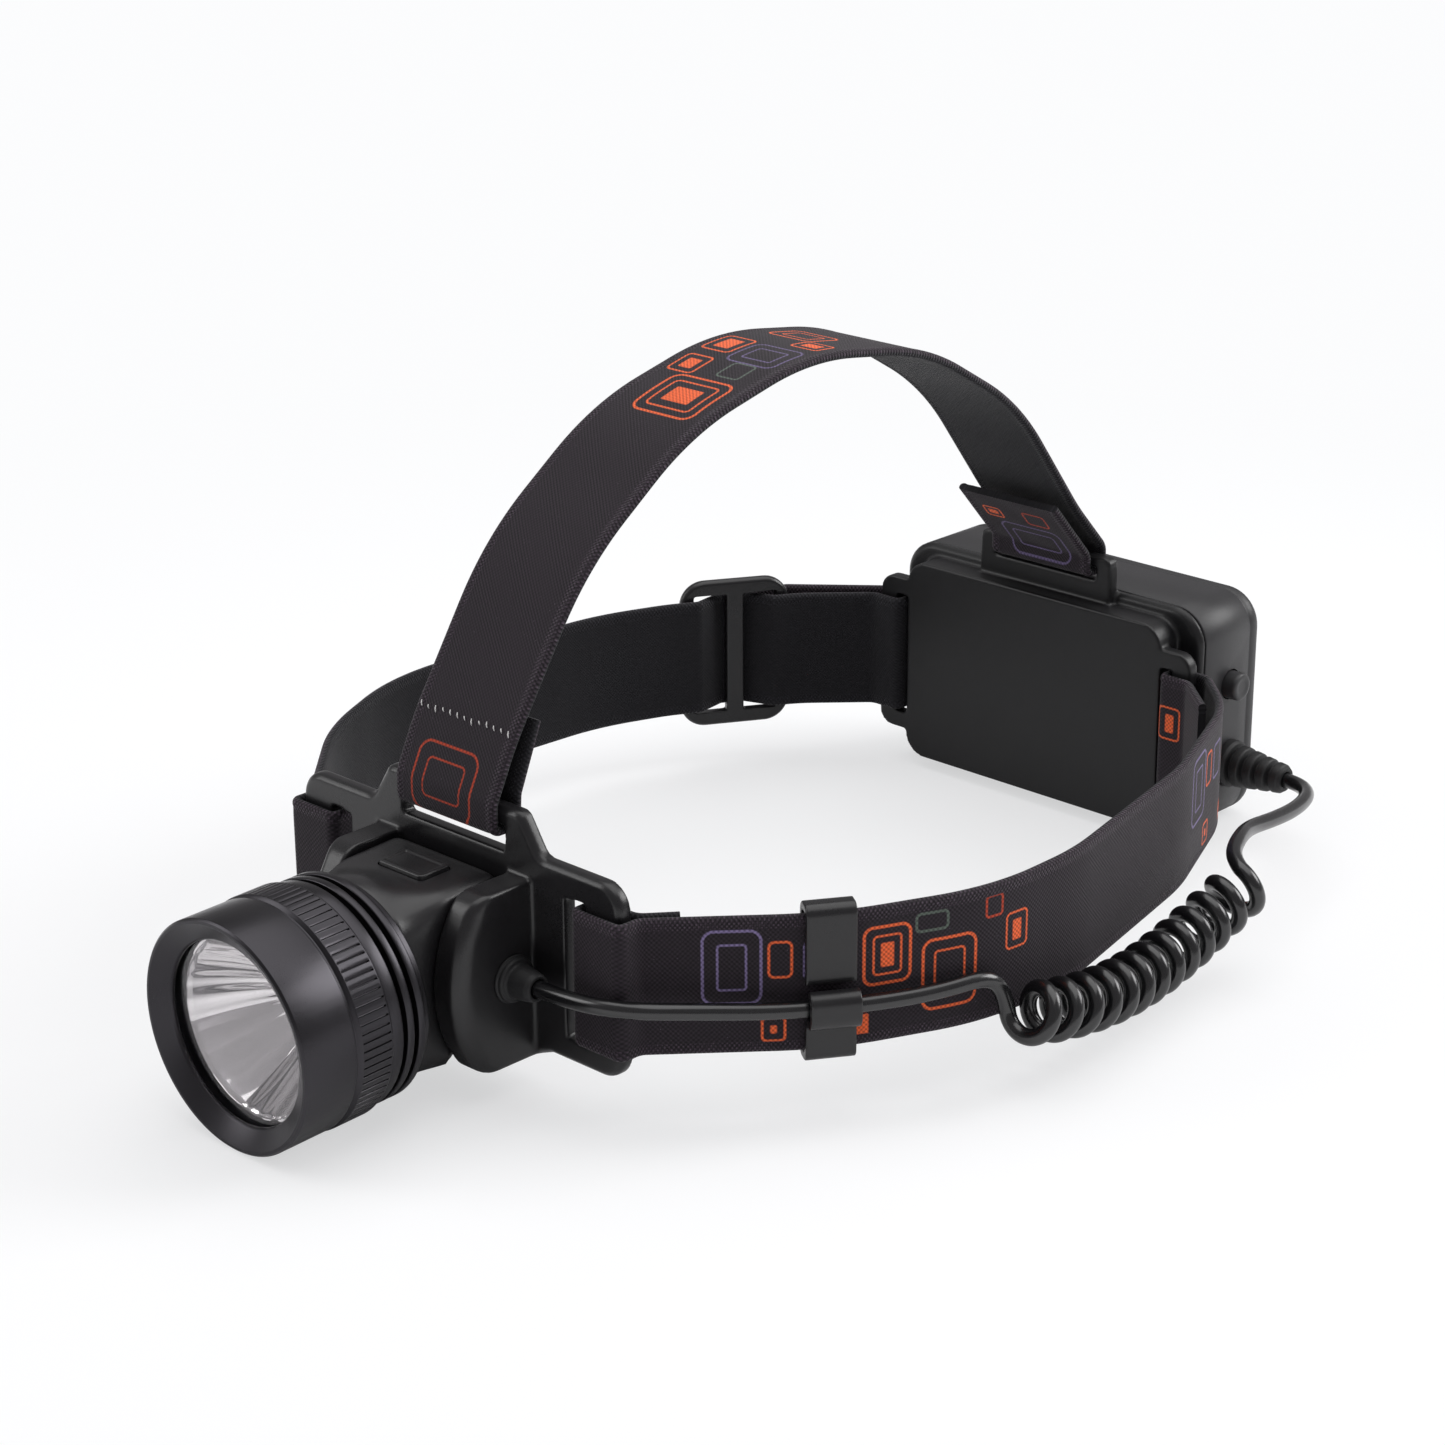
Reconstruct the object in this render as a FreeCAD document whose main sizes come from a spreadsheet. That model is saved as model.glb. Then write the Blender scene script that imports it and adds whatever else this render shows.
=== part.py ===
import FreeCAD, Part
import math
import os
import Sketcher

# Miner's cap lamp in millimetres, standing on its battery box and lamp bezel, +Z up.
# The lamp looks along -Y and the battery box lies at +Y. The origin is at the middle of
# the base of the whole piece without its cord.

Vector = FreeCAD.Vector
Rotation = FreeCAD.Rotation
SIXTH_RISE = math.sqrt(3) / 2
RIGHT, BACK, UP = Vector(1, 0, 0), Vector(0, 1, 0), Vector(0, 0, 1)

doc = FreeCAD.newDocument("cap_lamp")
sheet = doc.addObject("Spreadsheet::Sheet", "dims")


class Size:
    """A number that remembers how it follows from the sheet."""

    def __init__(self, number, text):
        self.number = float(number)
        self.text = text

    def __float__(self):
        return self.number

    def __add__(self, other):
        return Size(self.number + float(other), "(%s + %s)" % (self.text, words(other)))

    def __radd__(self, other):
        return Size(float(other) + self.number, "(%s + %s)" % (words(other), self.text))

    def __sub__(self, other):
        return Size(self.number - float(other), "(%s - %s)" % (self.text, words(other)))

    def __rsub__(self, other):
        return Size(float(other) - self.number, "(%s - %s)" % (words(other), self.text))

    def __mul__(self, other):
        return Size(self.number * float(other), "(%s * %s)" % (self.text, words(other)))

    __rmul__ = __mul__

    def __truediv__(self, other):
        return Size(self.number / float(other), "(%s / %s)" % (self.text, words(other)))

    def __neg__(self):
        return Size(-self.number, "(0 - %s)" % self.text)


def words(item):
    return item.text if isinstance(item, Size) else repr(float(item))


def size(alias, number):
    """Put one driving dimension in the sheet."""
    cell = "A%d" % (len(size_rows) + 1)
    sheet.set(cell, str(number))
    sheet.setAlias(cell, alias)
    size_rows.append(alias)
    return Size(number, "dims.%s" % alias)


size_rows = []

# Clearances
turn_clear = size("turn_clear", 0.06)
slide_clear = size("slide_clear", 0.2)
coil_clear = size("coil_clear", 0.25)
seat_clear = size("seat_clear", 0.1)
side_clear = size("side_clear", 0.3)

# Straps
strap_width = size("strap_width", 25.0)
strap_thick = size("strap_thick", 1.6)
band_rise = size("band_rise", 24.6)
slot_end_play = size("slot_end_play", 0.7)
slot_gap = size("slot_gap", 3.0)
bar_clear = size("bar_clear", 0.3)
flap_length = size("flap_length", 7.08)
flap_gap = size("flap_gap", 2.26)
head_breadth = size("head_breadth", 154.4)
crown_radius = size("crown_radius", 83.4)
crown_middle_y = size("crown_middle_y", 82.4)
crown_middle_z = size("crown_middle_z", 28.2)
crown_corners = size("crown_corners", 7)

# Front bracket, measured from the front face of its plate
plate_thick = size("plate_thick", 3.0)
plate_foot = size("plate_foot", 5.6)
wing_half = size("wing_half", 40.6)
wing_foot = size("wing_foot", 7.0)
wing_top = size("wing_top", 42.8)
wing_corner = size("wing_corner", 5.0)
wing_bar = size("wing_bar", 8.2)
tab_half = size("tab_half", 16.8)
tab_root_half = size("tab_root_half", 19.6)
tab_top = size("tab_top", 49.9)
tab_bar = size("tab_bar", 3.2)
plate_round = size("plate_round", 0.9)
ear_gap_half = size("ear_gap_half", 13.8)
ear_thick = size("ear_thick", 5.8)
ear_top = size("ear_top", 38.5)
ear_reach = size("ear_reach", 18.3)
ear_shoulder = size("ear_shoulder", 12.2)
ear_round = size("ear_round", 1.2)
pivot_forward = size("pivot_forward", 5.0)
pivot_rise = size("pivot_rise", 22.0)

# Pivot pin and hollow cord bush
pin_radius = size("pin_radius", 2.5)
pin_depth = size("pin_depth", 5.0)
pin_head_radius = size("pin_head_radius", 4.7)
pin_head_thick = size("pin_head_thick", 1.6)
bush_radius = size("bush_radius", 3.3)
bush_flange_radius = size("bush_flange_radius", 4.9)
bush_flange_thick = size("bush_flange_thick", 1.6)
bush_nozzle = size("bush_nozzle", 4.8)
cord_thick = size("cord_thick", 3.0)
cord_seat = size("cord_seat", 3.0)

# Tilting lamp, distances along its own axis from the pivot
rest_pitch = size("rest_pitch", 1.5)
collar_back = size("collar_back", 18.3)
collar_depth = size("collar_depth", 2.0)
collar_radius = size("collar_radius", 18.9)
fin_radius = size("fin_radius", 20.4)
fin_thick = size("fin_thick", 1.5)
fin_gap = size("fin_gap", 0.95)
fin_root_radius = size("fin_root_radius", 18.9)
ring_depth = size("ring_depth", 2.7)
knurl_depth = size("knurl_depth", 6.9)
nose_depth = size("nose_depth", 11.7)
bezel_radius = size("bezel_radius", 21.0)
nose_radius = size("nose_radius", 20.8)
bezel_wall = size("bezel_wall", 2.2)
rim_chamfer = size("rim_chamfer", 0.6)
rim_land = size("rim_land", 0.9)
window_radius = size("window_radius", 14.6)
funnel_depth = size("funnel_depth", 3.6)
window_lip = size("window_lip", 0.5)
lens_thick = size("lens_thick", 2.2)
seal_side = size("seal_side", 1.4)
spigot_wall = size("spigot_wall", 1.5)
led_board_radius = size("led_board_radius", 11.0)
led_board_thick = size("led_board_thick", 1.6)
led_side = size("led_side", 5.0)
led_thick = size("led_thick", 1.0)
led_dome_radius = size("led_dome_radius", 1.9)
led_dome_rise = size("led_dome_rise", 1.4)
reflector_wall = size("reflector_wall", 1.0)
reflector_hole = size("reflector_hole", 4.0)
reflector_lift = size("reflector_lift", 0.3)
reflector_steps = size("reflector_steps", 3)
reflector_sides = size("reflector_sides", 24)
wire_hole_radius = size("wire_hole_radius", 2.0)

# Lamp housing between the ears
housing_top = size("housing_top", 16.4)
housing_back = size("housing_back", 4.0)
housing_foot = size("housing_foot", 15.9)
housing_round = size("housing_round", 1.8)
bevel_reach = size("bevel_reach", 6.2)
cavity_half = size("cavity_half", 9.5)
cavity_rise = size("cavity_rise", 12.0)
cavity_drop = size("cavity_drop", 9.0)
cavity_depth = size("cavity_depth", 17.0)
driver_thick = size("driver_thick", 1.4)
key_width = size("key_width", 11.4)
key_depth = size("key_depth", 6.9)
key_back = size("key_back", 0.2)
key_proud = size("key_proud", 0.8)
key_body = size("key_body", 1.4)
key_travel = size("key_travel", 0.8)
key_corner = size("key_corner", 1.0)
dome_side = size("dome_side", 4.6)
dome_sink = size("dome_sink", 1.0)

# Battery box, measured from its back face
box_width = size("box_width", 76.8)
box_height = size("box_height", 48.4)
box_depth = size("box_depth", 21.3)
box_corner = size("box_corner", 7.5)
box_back_round = size("box_back_round", 2.5)
box_wall = size("box_wall", 2.0)
box_distance = size("box_distance", 186.8)
border_thick = size("border_thick", 1.9)
seam_gap = size("seam_gap", 0.15)
pad_half = size("pad_half", 33.0)
pad_proud = size("pad_proud", 6.0)
pad_foot = size("pad_foot", 2.4)
pad_corner = size("pad_corner", 5.0)
rear_wing_half = size("rear_wing_half", 40.3)
rear_wing_thick = size("rear_wing_thick", 2.8)
rear_wing_height = size("rear_wing_height", 34.0)
rear_wing_corner = size("rear_wing_corner", 3.5)
rear_wing_bar = size("rear_wing_bar", 4.3)
rear_tab_front = size("rear_tab_front", 1.9)
rear_tab_thick = size("rear_tab_thick", 2.8)
rear_tab_rise = size("rear_tab_rise", 7.2)
rear_tab_half = size("rear_tab_half", 16.8)
rear_tab_bar = size("rear_tab_bar", 2.3)
rear_tab_slot = size("rear_tab_slot", 2.6)
tab_over = size("tab_over", 1.2)
cell_thick = size("cell_thick", 8.4)
cell_width = size("cell_width", 54.0)
cell_height = size("cell_height", 36.0)
cell_round = size("cell_round", 1.5)
board_thick = size("board_thick", 1.4)
button_radius = size("button_radius", 2.9)
button_proud = size("button_proud", 3.0)
button_travel = size("button_travel", 1.0)
button_flange = size("button_flange", 4.0)
button_forward = size("button_forward", 10.2)
button_rise = size("button_rise", 31.0)
switch_length = size("switch_length", 4.5)
switch_side = size("switch_side", 6.0)
relief_rise = size("relief_rise", 13.8)
relief_forward = size("relief_forward", 9.6)
relief_length = size("relief_length", 14.2)
relief_root_radius = size("relief_root_radius", 4.4)
relief_tip_radius = size("relief_tip_radius", 2.6)
relief_ribs = size("relief_ribs", 4)

# Strap adjuster and cord clip
adjuster_length = size("adjuster_length", 24.0)
adjuster_height = size("adjuster_height", 32.6)
adjuster_thick = size("adjuster_thick", 2.4)
adjuster_corner = size("adjuster_corner", 5.5)
adjuster_rim = size("adjuster_rim", 3.0)
adjuster_bar = size("adjuster_bar", 3.8)
clip_width = size("clip_width", 8.8)
clip_wall = size("clip_wall", 1.5)
cord_clip_drop = size("cord_clip_drop", 3.7)

# Coiled cord
coil_turns = size("coil_turns", 12.75)
coil_mean_radius = size("coil_mean_radius", 4.25)
cord_sides = size("cord_sides", 6)

doc.recompute()

# Helpers for bodies and sketches


def origin_item(body, role):
    return next(item for item in body.Origin.OriginFeatures if item.Role == role)


def bind(item, name, amount):
    item.setExpression(name, words(amount))


def new_body(name):
    body = doc.addObject("PartDesign::Body", name)
    body.Label = name
    return body


def new_sketch(body, plane, offset):
    sketch = body.newObject("Sketcher::SketchObject", "outline")
    sketch.AttachmentSupport = (origin_item(body, plane), [""])
    sketch.MapMode = "FlatFace"
    bind(sketch, "AttachmentOffset.Base.z", offset)
    return sketch


def pin_point(sketch, item, end, across, up):
    """Hold one point of a sketch at its two sizes."""
    for kind, axis, amount in (("DistanceX", -2, across), ("DistanceY", -1, up)):
        if float(amount) == 0.0:
            sketch.addConstraint(Sketcher.Constraint("PointOnObject", item, end, axis))
        else:
            pull = Sketcher.Constraint(kind, -1, 1, item, end, float(amount))
            bind(sketch, "Constraints[%d]" % sketch.addConstraint(pull), amount)


def add_loop(sketch, corners):
    """Closed outline of straight sides through corners given as (across, up)."""
    first = sketch.GeometryCount
    spots = [Vector(float(across), float(up), 0) for across, up in corners]
    for spot, after in zip(spots, spots[1:] + spots[:1]):
        sketch.addGeometry(Part.LineSegment(spot, after), False)
    count = len(corners)
    for step, (across, up) in enumerate(corners):
        follower = first + (step + 1) % count
        sketch.addConstraint(Sketcher.Constraint("Coincident", first + step, 2, follower, 1))
        pin_point(sketch, first + step, 1, across, up)


def corner_sketch(body, plane, corners, offset=0.0):
    sketch = new_sketch(body, plane, offset)
    add_loop(sketch, corners)
    return sketch


def box_corners(low_across, high_across, low_up, high_up):
    return [(low_across, low_up), (high_across, low_up), (high_across, high_up), (low_across, high_up)]


def circle_sketch(body, plane, across, up, radius, offset=0.0):
    sketch = new_sketch(body, plane, offset)
    circle = Part.Circle(Vector(float(across), float(up), 0), UP, float(radius))
    sketch.addGeometry(circle, False)
    pin_point(sketch, 0, 3, across, up)
    bind(sketch, "Constraints[%d]" % sketch.addConstraint(
        Sketcher.Constraint("Radius", 0, float(radius))), radius)
    return sketch


def rounded_sketch(body, plane, low_across, high_across, low_up, high_up, radius, offset=0.0):
    """Rectangle with four equal round corners."""
    sketch = new_sketch(body, plane, offset)
    left, right = float(low_across), float(high_across)
    foot, head, bend = float(low_up), float(high_up), float(radius)
    spots = [
        (left + bend, foot), (right - bend, foot), (right, foot + bend), (right, head - bend),
        (right - bend, head), (left + bend, head), (left, head - bend), (left, foot + bend)]
    spots = [Vector(across, up, 0) for across, up in spots]
    centres = [(right - bend, foot + bend), (right - bend, head - bend),
               (left + bend, head - bend), (left + bend, foot + bend)]
    for side in range(4):
        sketch.addGeometry(Part.LineSegment(spots[2 * side], spots[2 * side + 1]), False)
        centre = Vector(centres[side][0], centres[side][1], 0)
        start = math.radians(90 * (side - 1))
        circle = Part.Circle(centre, UP, bend)
        sketch.addGeometry(Part.ArcOfCircle(circle, start, start + math.pi / 2), False)
    for side in range(4):
        line, arc, after = 2 * side, 2 * side + 1, (2 * side + 2) % 8
        sketch.addConstraint(Sketcher.Constraint("Tangent", line, 2, arc, 1))
        sketch.addConstraint(Sketcher.Constraint("Tangent", arc, 2, after, 1))
        bind(sketch, "Constraints[%d]" % sketch.addConstraint(
            Sketcher.Constraint("Radius", arc, bend)), radius)
    for line, kind, amount in ((0, "DistanceY", low_up), (2, "DistanceX", high_across),
                               (4, "DistanceY", high_up), (6, "DistanceX", low_across)):
        if float(amount) == 0.0:
            axis = -1 if kind == "DistanceY" else -2
            sketch.addConstraint(Sketcher.Constraint("PointOnObject", line, 1, axis))
        else:
            pull = Sketcher.Constraint(kind, -1, 1, line, 1, float(amount))
            bind(sketch, "Constraints[%d]" % sketch.addConstraint(pull), amount)
    for line in (0, 4):
        sketch.addConstraint(Sketcher.Constraint("Horizontal", line))
    for line in (2, 6):
        sketch.addConstraint(Sketcher.Constraint("Vertical", line))
    return sketch


def add_feature(body, kind, sketch, length, backwards=False):
    before = body.Shape.Volume if body.Tip else 0.0
    feature = body.newObject("PartDesign::" + kind, kind.lower())
    feature.Profile = sketch
    bind(feature, "Length", length)
    feature.Reversed = backwards
    doc.recompute()
    change = body.Shape.Volume - before
    if abs(change) < 1e-6 or (change < 0) != (kind == "Pocket"):
        raise RuntimeError("%s of %s changes nothing" % (kind, body.Label))
    return feature


def pad(body, sketch, length, backwards=False):
    return add_feature(body, "Pad", sketch, length, backwards)


def pocket(body, sketch, depth, backwards=False):
    return add_feature(body, "Pocket", sketch, depth, backwards)


def revolve(body, sketch, axis):
    feature = body.newObject("PartDesign::Revolution", "turned")
    feature.Profile = sketch
    feature.ReferenceAxis = (sketch, [axis])
    feature.Angle = 360
    doc.recompute()
    return feature


def runs_along(edge, direction):
    return isinstance(edge.Curve, Part.Line) and abs(edge.Curve.Direction.dot(direction)) > 0.999


def lies_in(edge, direction, level):
    """Whether every corner of an edge is at one level."""
    return all(abs(corner.Point.dot(direction) - float(level)) < 0.01 for corner in edge.Vertexes)


def dress(body, kind, radius, chosen):
    """Fillet or chamfer the edges of the body's tip that a test picks."""
    tip = body.Tip
    names = ["Edge%d" % (place + 1) for place, edge in enumerate(tip.Shape.Edges) if chosen(edge)]
    if not names:
        raise RuntimeError("no edge of %s to dress" % body.Label)
    feature = body.newObject("PartDesign::" + kind, kind.lower())
    feature.Base = (tip, names)
    bind(feature, "Radius" if kind == "Fillet" else "Size", radius)
    doc.recompute()
    return feature


def put(item, across=0.0, along=0.0, rise=0.0, pitch=None):
    """Place an object, pitched nose down about X where a pitch is given."""
    turn = Rotation(RIGHT, float(pitch)) if pitch is not None else Rotation()
    item.Placement = FreeCAD.Placement(Vector(float(across), float(along), float(rise)), turn)
    for name, amount in (("x", across), ("y", along), ("z", rise)):
        bind(item, "Placement.Base." + name, amount)
    if pitch is not None:
        bind(item, "Placement.Rotation.Angle", pitch)


def solid(name, shape):
    """Keep a shape made from the sheet's values as a sub-part."""
    item = doc.addObject("Part::Feature", name)
    item.Label = name
    item.Shape = shape
    return item


def turned(name, plane_axis, profile):
    """Body of revolution; the profile runs along X, or along -Y as (radius, forward)."""
    body = new_body(name)
    if plane_axis == "X":
        sketch = corner_sketch(body, "XY_Plane", profile)
        revolve(body, sketch, "H_Axis")
    else:
        sketch = corner_sketch(body, "XY_Plane", [(radius, -forward) for radius, forward in profile])
        revolve(body, sketch, "V_Axis")
    return body


def block(name, low, high):
    """Rectangular body between two opposite corners."""
    body = new_body(name)
    corners = box_corners(low[0], high[0], low[1], high[1])
    pad(body, corner_sketch(body, "XY_Plane", corners, low[2]), high[2] - low[2])
    return body


# Places that several pieces share

tilt_cos = Size(math.cos(math.radians(float(rest_pitch))), "cos(dims.rest_pitch * 1 deg)")
tilt_sin = Size(math.sin(math.radians(float(rest_pitch))), "sin(dims.rest_pitch * 1 deg)")
ring_back = collar_back + collar_depth + 2 * fin_thick + 2 * fin_gap
knurl_back = ring_back + ring_depth
nose_back = knurl_back + knurl_depth
lamp_front = nose_back + nose_depth
lens_front = lamp_front - funnel_depth - window_lip
lens_back = lens_front - lens_thick
spigot_front = lens_back - seal_side
bezel_bore = bezel_radius - bezel_wall
spigot_radius = bezel_bore - seat_clear
barrel_bore = spigot_radius - spigot_wall
rim_radius = nose_radius - rim_chamfer
lamp_reach = pivot_forward + lamp_front * tilt_cos + rim_radius * tilt_sin
plate_y = (lamp_reach - box_distance) / 2
box_y = plate_y + box_distance
pivot_y = plate_y - pivot_forward

slot_half = strap_width / 2 + slot_end_play
band_foot = band_rise - strap_width / 2
strap_seat = bar_clear + strap_thick / 2
bar_outside = wing_half + strap_seat
slot_middle = wing_half - wing_bar - slot_gap / 2
tab_slot_top = tab_top - tab_bar
tab_slot_foot = tab_slot_top - slot_gap
housing_half = ear_gap_half - side_clear
ear_outside = ear_gap_half + ear_thick
bush_tip = ear_outside + bush_flange_thick + bush_nozzle
cord_radius = cord_thick / 2
cord_hole = cord_radius + seat_clear

cover_back = box_depth - border_thick
pad_front = box_depth + pad_proud
wing_back = pad_front - rear_wing_thick
rear_slot_outer = rear_wing_half - rear_wing_bar
rear_slot_inner = rear_slot_outer - slot_gap
rear_slot_middle = rear_slot_outer - slot_gap / 2
rear_wing_foot = band_rise - rear_wing_height / 2
rear_wing_head = band_rise + rear_wing_height / 2
pad_head = box_height - pad_foot
rear_tab_top = box_height + rear_tab_rise
tab_plane = box_depth + rear_tab_front
rear_slot_head = rear_tab_top - rear_tab_bar
rear_slot_foot = rear_slot_head - rear_tab_slot
box_half = box_width / 2


# Front bracket: slotted wings, top tab and the two pivot ears

def make_front_bracket():
    body = new_body("front_bracket")
    ramp = (wing_foot - plate_foot) * 2.5
    side = [
        (tab_root_half, plate_foot), (tab_root_half + ramp, wing_foot), (wing_half, wing_foot),
        (wing_half, wing_top), (tab_root_half + ramp / 2, wing_top), (tab_half, tab_top)]
    outline = side + [(-across, up) for across, up in reversed(side)]
    pad(body, corner_sketch(body, "XZ_Plane", outline), plate_thick, backwards=True)
    dress(body, "Fillet", wing_corner, lambda edge: runs_along(edge, BACK)
          and abs(abs(edge.Vertexes[0].Point.x) - float(wing_half)) < 0.01)
    dress(body, "Fillet", wing_corner / 2, lambda edge: runs_along(edge, BACK)
          and edge.Vertexes[0].Point.z > float(wing_top) - 0.01
          and abs(edge.Vertexes[0].Point.x) < float(tab_root_half + ramp))
    dress(body, "Chamfer", plate_round, lambda edge: lies_in(edge, BACK, 0.0))
    slots = new_sketch(body, "XZ_Plane", 0.0)
    low, high = band_rise - slot_half, band_rise + slot_half
    inner, outer = wing_half - wing_bar - slot_gap, wing_half - wing_bar
    add_loop(slots, box_corners(inner, outer, low, high))
    add_loop(slots, box_corners(-outer, -inner, low, high))
    add_loop(slots, box_corners(-slot_half, slot_half, tab_slot_foot, tab_slot_top))
    pocket(body, slots, plate_thick)
    for start in (ear_gap_half, -ear_outside):
        add_ear(body, start)
    dress(body, "Chamfer", ear_round, ear_rim)
    add_bore(body, ear_gap_half, bush_radius + turn_clear)
    add_bore(body, -ear_outside, pin_radius + turn_clear)
    put(body, along=plate_y)
    return body


def add_ear(body, start):
    """One ear whose front edge is an arc between two shoulders."""
    sketch = new_sketch(body, "YZ_Plane", start)
    middle = (ear_top + plate_foot) / 2
    spots = [
        (plate_thick / 2, plate_foot), (plate_thick / 2, ear_top),
        (-ear_shoulder, ear_top), (-ear_shoulder, plate_foot)]
    ends = [Vector(float(along), float(up), 0) for along, up in spots]
    for first, second in ((0, 1), (1, 2)):
        sketch.addGeometry(Part.LineSegment(ends[first], ends[second]), False)
    bulge = Vector(-float(ear_reach), float(middle), 0)
    sketch.addGeometry(Part.Arc(ends[2], bulge, ends[3]), False)
    sketch.addGeometry(Part.LineSegment(ends[3], ends[0]), False)
    for first, end, second, start_end in ((0, 2, 1, 1), (1, 2, 2, 1), (2, 2, 3, 1), (3, 2, 0, 1)):
        sketch.addConstraint(Sketcher.Constraint("Coincident", first, end, second, start_end))
    for item, end, spot in ((0, 1, 0), (0, 2, 1), (2, 1, 2), (2, 2, 3)):
        pin_point(sketch, item, end, spots[spot][0], spots[spot][1])
    half_chord = (ear_top - plate_foot) / 2
    depth = ear_reach - ear_shoulder
    curve = (half_chord * half_chord + depth * depth) / (2 * depth)
    bind(sketch, "Constraints[%d]" % sketch.addConstraint(
        Sketcher.Constraint("Radius", 2, float(curve))), curve)
    pad(body, sketch, ear_thick)


def ear_rim(edge):
    """Long outer edges of the ears, in front of the plate."""
    spots = [corner.Point for corner in edge.Vertexes]
    outside = all(abs(abs(spot.x) - float(ear_outside)) < 0.01 for spot in spots)
    ahead = all(spot.y < 0.01 for spot in spots)
    return outside and ahead and not lies_in(edge, BACK, 0.0)


def add_bore(body, start, radius):
    sketch = circle_sketch(body, "YZ_Plane", -pivot_forward, pivot_rise, radius, start)
    pocket(body, sketch, ear_thick, backwards=True)


def make_pivot_pin():
    """Plain pin with a low head, in the left ear."""
    inside = -(ear_gap_half - pin_depth)
    outside = -ear_outside
    body = turned("pivot_pin_left", "X", [
        (outside - pin_head_thick, 0.0), (inside, 0.0), (inside, pin_radius),
        (outside, pin_radius), (outside, pin_head_radius), (outside - pin_head_thick, pin_head_radius)])
    dress(body, "Chamfer", pin_head_thick / 3, lambda edge: lies_in(edge, RIGHT, outside - pin_head_thick)
          and len(edge.Vertexes) == 1)
    put(body, along=pivot_y, rise=pivot_rise)
    return body


def make_cord_bush():
    """Hollow pivot on the cord side, with a flange and a nozzle that holds the cord."""
    inside = ear_gap_half - pin_depth
    flange = ear_outside + bush_flange_thick
    wire_hole = cord_radius * 0.8
    seat = bush_tip - cord_seat
    body = turned("cord_bush", "X", [
        (inside, wire_hole), (seat, wire_hole), (seat, cord_hole), (bush_tip, cord_hole),
        (bush_tip, bush_radius), (flange, bush_radius), (flange, bush_flange_radius),
        (ear_outside, bush_flange_radius), (ear_outside, bush_radius), (inside, bush_radius)])
    put(body, along=pivot_y, rise=pivot_rise)
    return body


# Tilting lamp, built about the pivot and pitched as it rests

def put_on_lamp(body):
    put(body, along=pivot_y, rise=pivot_rise, pitch=rest_pitch)
    return body


def make_lamp_housing():
    body = new_body("lamp_housing")
    profile = [
        (housing_back, housing_back - bevel_reach), (housing_back, housing_top),
        (-collar_back, housing_top), (-collar_back, -housing_foot),
        (bevel_reach - housing_foot, -housing_foot)]
    pad(body, corner_sketch(body, "YZ_Plane", profile, -housing_half), 2 * housing_half)
    dress(body, "Chamfer", housing_round, lambda edge: lies_in(edge, UP, housing_top)
          and not lies_in(edge, BACK, -collar_back))
    cavity = box_corners(-cavity_half, cavity_half, -cavity_drop, cavity_rise)
    pocket(body, corner_sketch(body, "XZ_Plane", cavity, collar_back), cavity_depth)
    key_half, key_front = key_width / 2 + slide_clear, key_back + key_depth + slide_clear
    well = box_corners(-key_half, key_half, -key_front, slide_clear - key_back)
    pocket(body, corner_sketch(body, "XY_Plane", well, housing_top), key_well_depth)
    dome_middle = key_back + key_depth / 2
    half = dome_side / 2 + slide_clear
    dome = box_corners(-half, half, -dome_middle - half, half - dome_middle)
    pocket(body, corner_sketch(body, "XY_Plane", dome, housing_top), key_well_depth + dome_sink)
    bore_end = housing_half - pin_depth
    right = circle_sketch(body, "YZ_Plane", 0.0, 0.0, bush_radius + turn_clear, bore_end)
    pocket(body, right, pin_depth, backwards=True)
    left = circle_sketch(body, "YZ_Plane", 0.0, 0.0, pin_radius + turn_clear, -bore_end)
    pocket(body, left, pin_depth)
    return put_on_lamp(body)


key_well_depth = key_body + key_travel + slide_clear


def make_switch_key():
    half = key_width / 2
    body = new_body("switch_key")
    sketch = rounded_sketch(
        body, "XY_Plane", -half, half, -key_back - key_depth, -key_back, key_corner,
        housing_top - key_body)
    pad(body, sketch, key_body + key_proud)
    dress(body, "Chamfer", key_proud / 2, lambda edge: lies_in(edge, UP, housing_top + key_proud))
    return put_on_lamp(body)


def make_dome_switch():
    foot = housing_top - key_well_depth - dome_sink
    head = housing_top - key_body - key_travel - slide_clear / 4
    middle = -key_back - key_depth / 2
    half = dome_side / 2
    body = block("dome_switch", (-half, middle - half, foot), (half, middle + half, head))
    return put_on_lamp(body)


def make_driver_board():
    back = -(collar_back - cavity_depth / 2)
    low = (-cavity_half + slide_clear, back - driver_thick, -cavity_drop + slide_clear)
    high = (cavity_half - slide_clear, back, cavity_rise - slide_clear)
    return put_on_lamp(block("driver_board", low, high))


def make_lamp_barrel():
    """Heat sink with two fins, the lamp's floor and the spigot that the bezel screws on."""
    profile = [(wire_hole_radius, collar_back), (collar_radius, collar_back)]
    station = collar_back + collar_depth
    profile.append((collar_radius, station))
    for fin in range(2):
        profile += [(fin_radius, station), (fin_radius, station + fin_thick),
                    (fin_root_radius, station + fin_thick)]
        station = station + fin_thick + fin_gap
        profile.append((fin_root_radius, station))
    profile += [
        (fin_radius, ring_back), (fin_radius, knurl_back), (spigot_radius, knurl_back),
        (spigot_radius, spigot_front), (barrel_bore, spigot_front), (barrel_bore, ring_back),
        (wire_hole_radius, ring_back)]
    body = turned("lamp_barrel", "Y", profile)
    return put_on_lamp(body)


def make_bezel_ring():
    """Ring whose funnel leads in to the window."""
    profile = [
        (bezel_bore, knurl_back), (bezel_radius, knurl_back), (bezel_radius, nose_back),
        (nose_radius, nose_back), (nose_radius, lamp_front - rim_chamfer), (rim_radius, lamp_front),
        (rim_radius - rim_land, lamp_front), (window_radius, lens_front + window_lip),
        (window_radius, lens_front), (bezel_bore, lens_front)]
    return put_on_lamp(turned("bezel_ring", "Y", profile))


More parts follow.
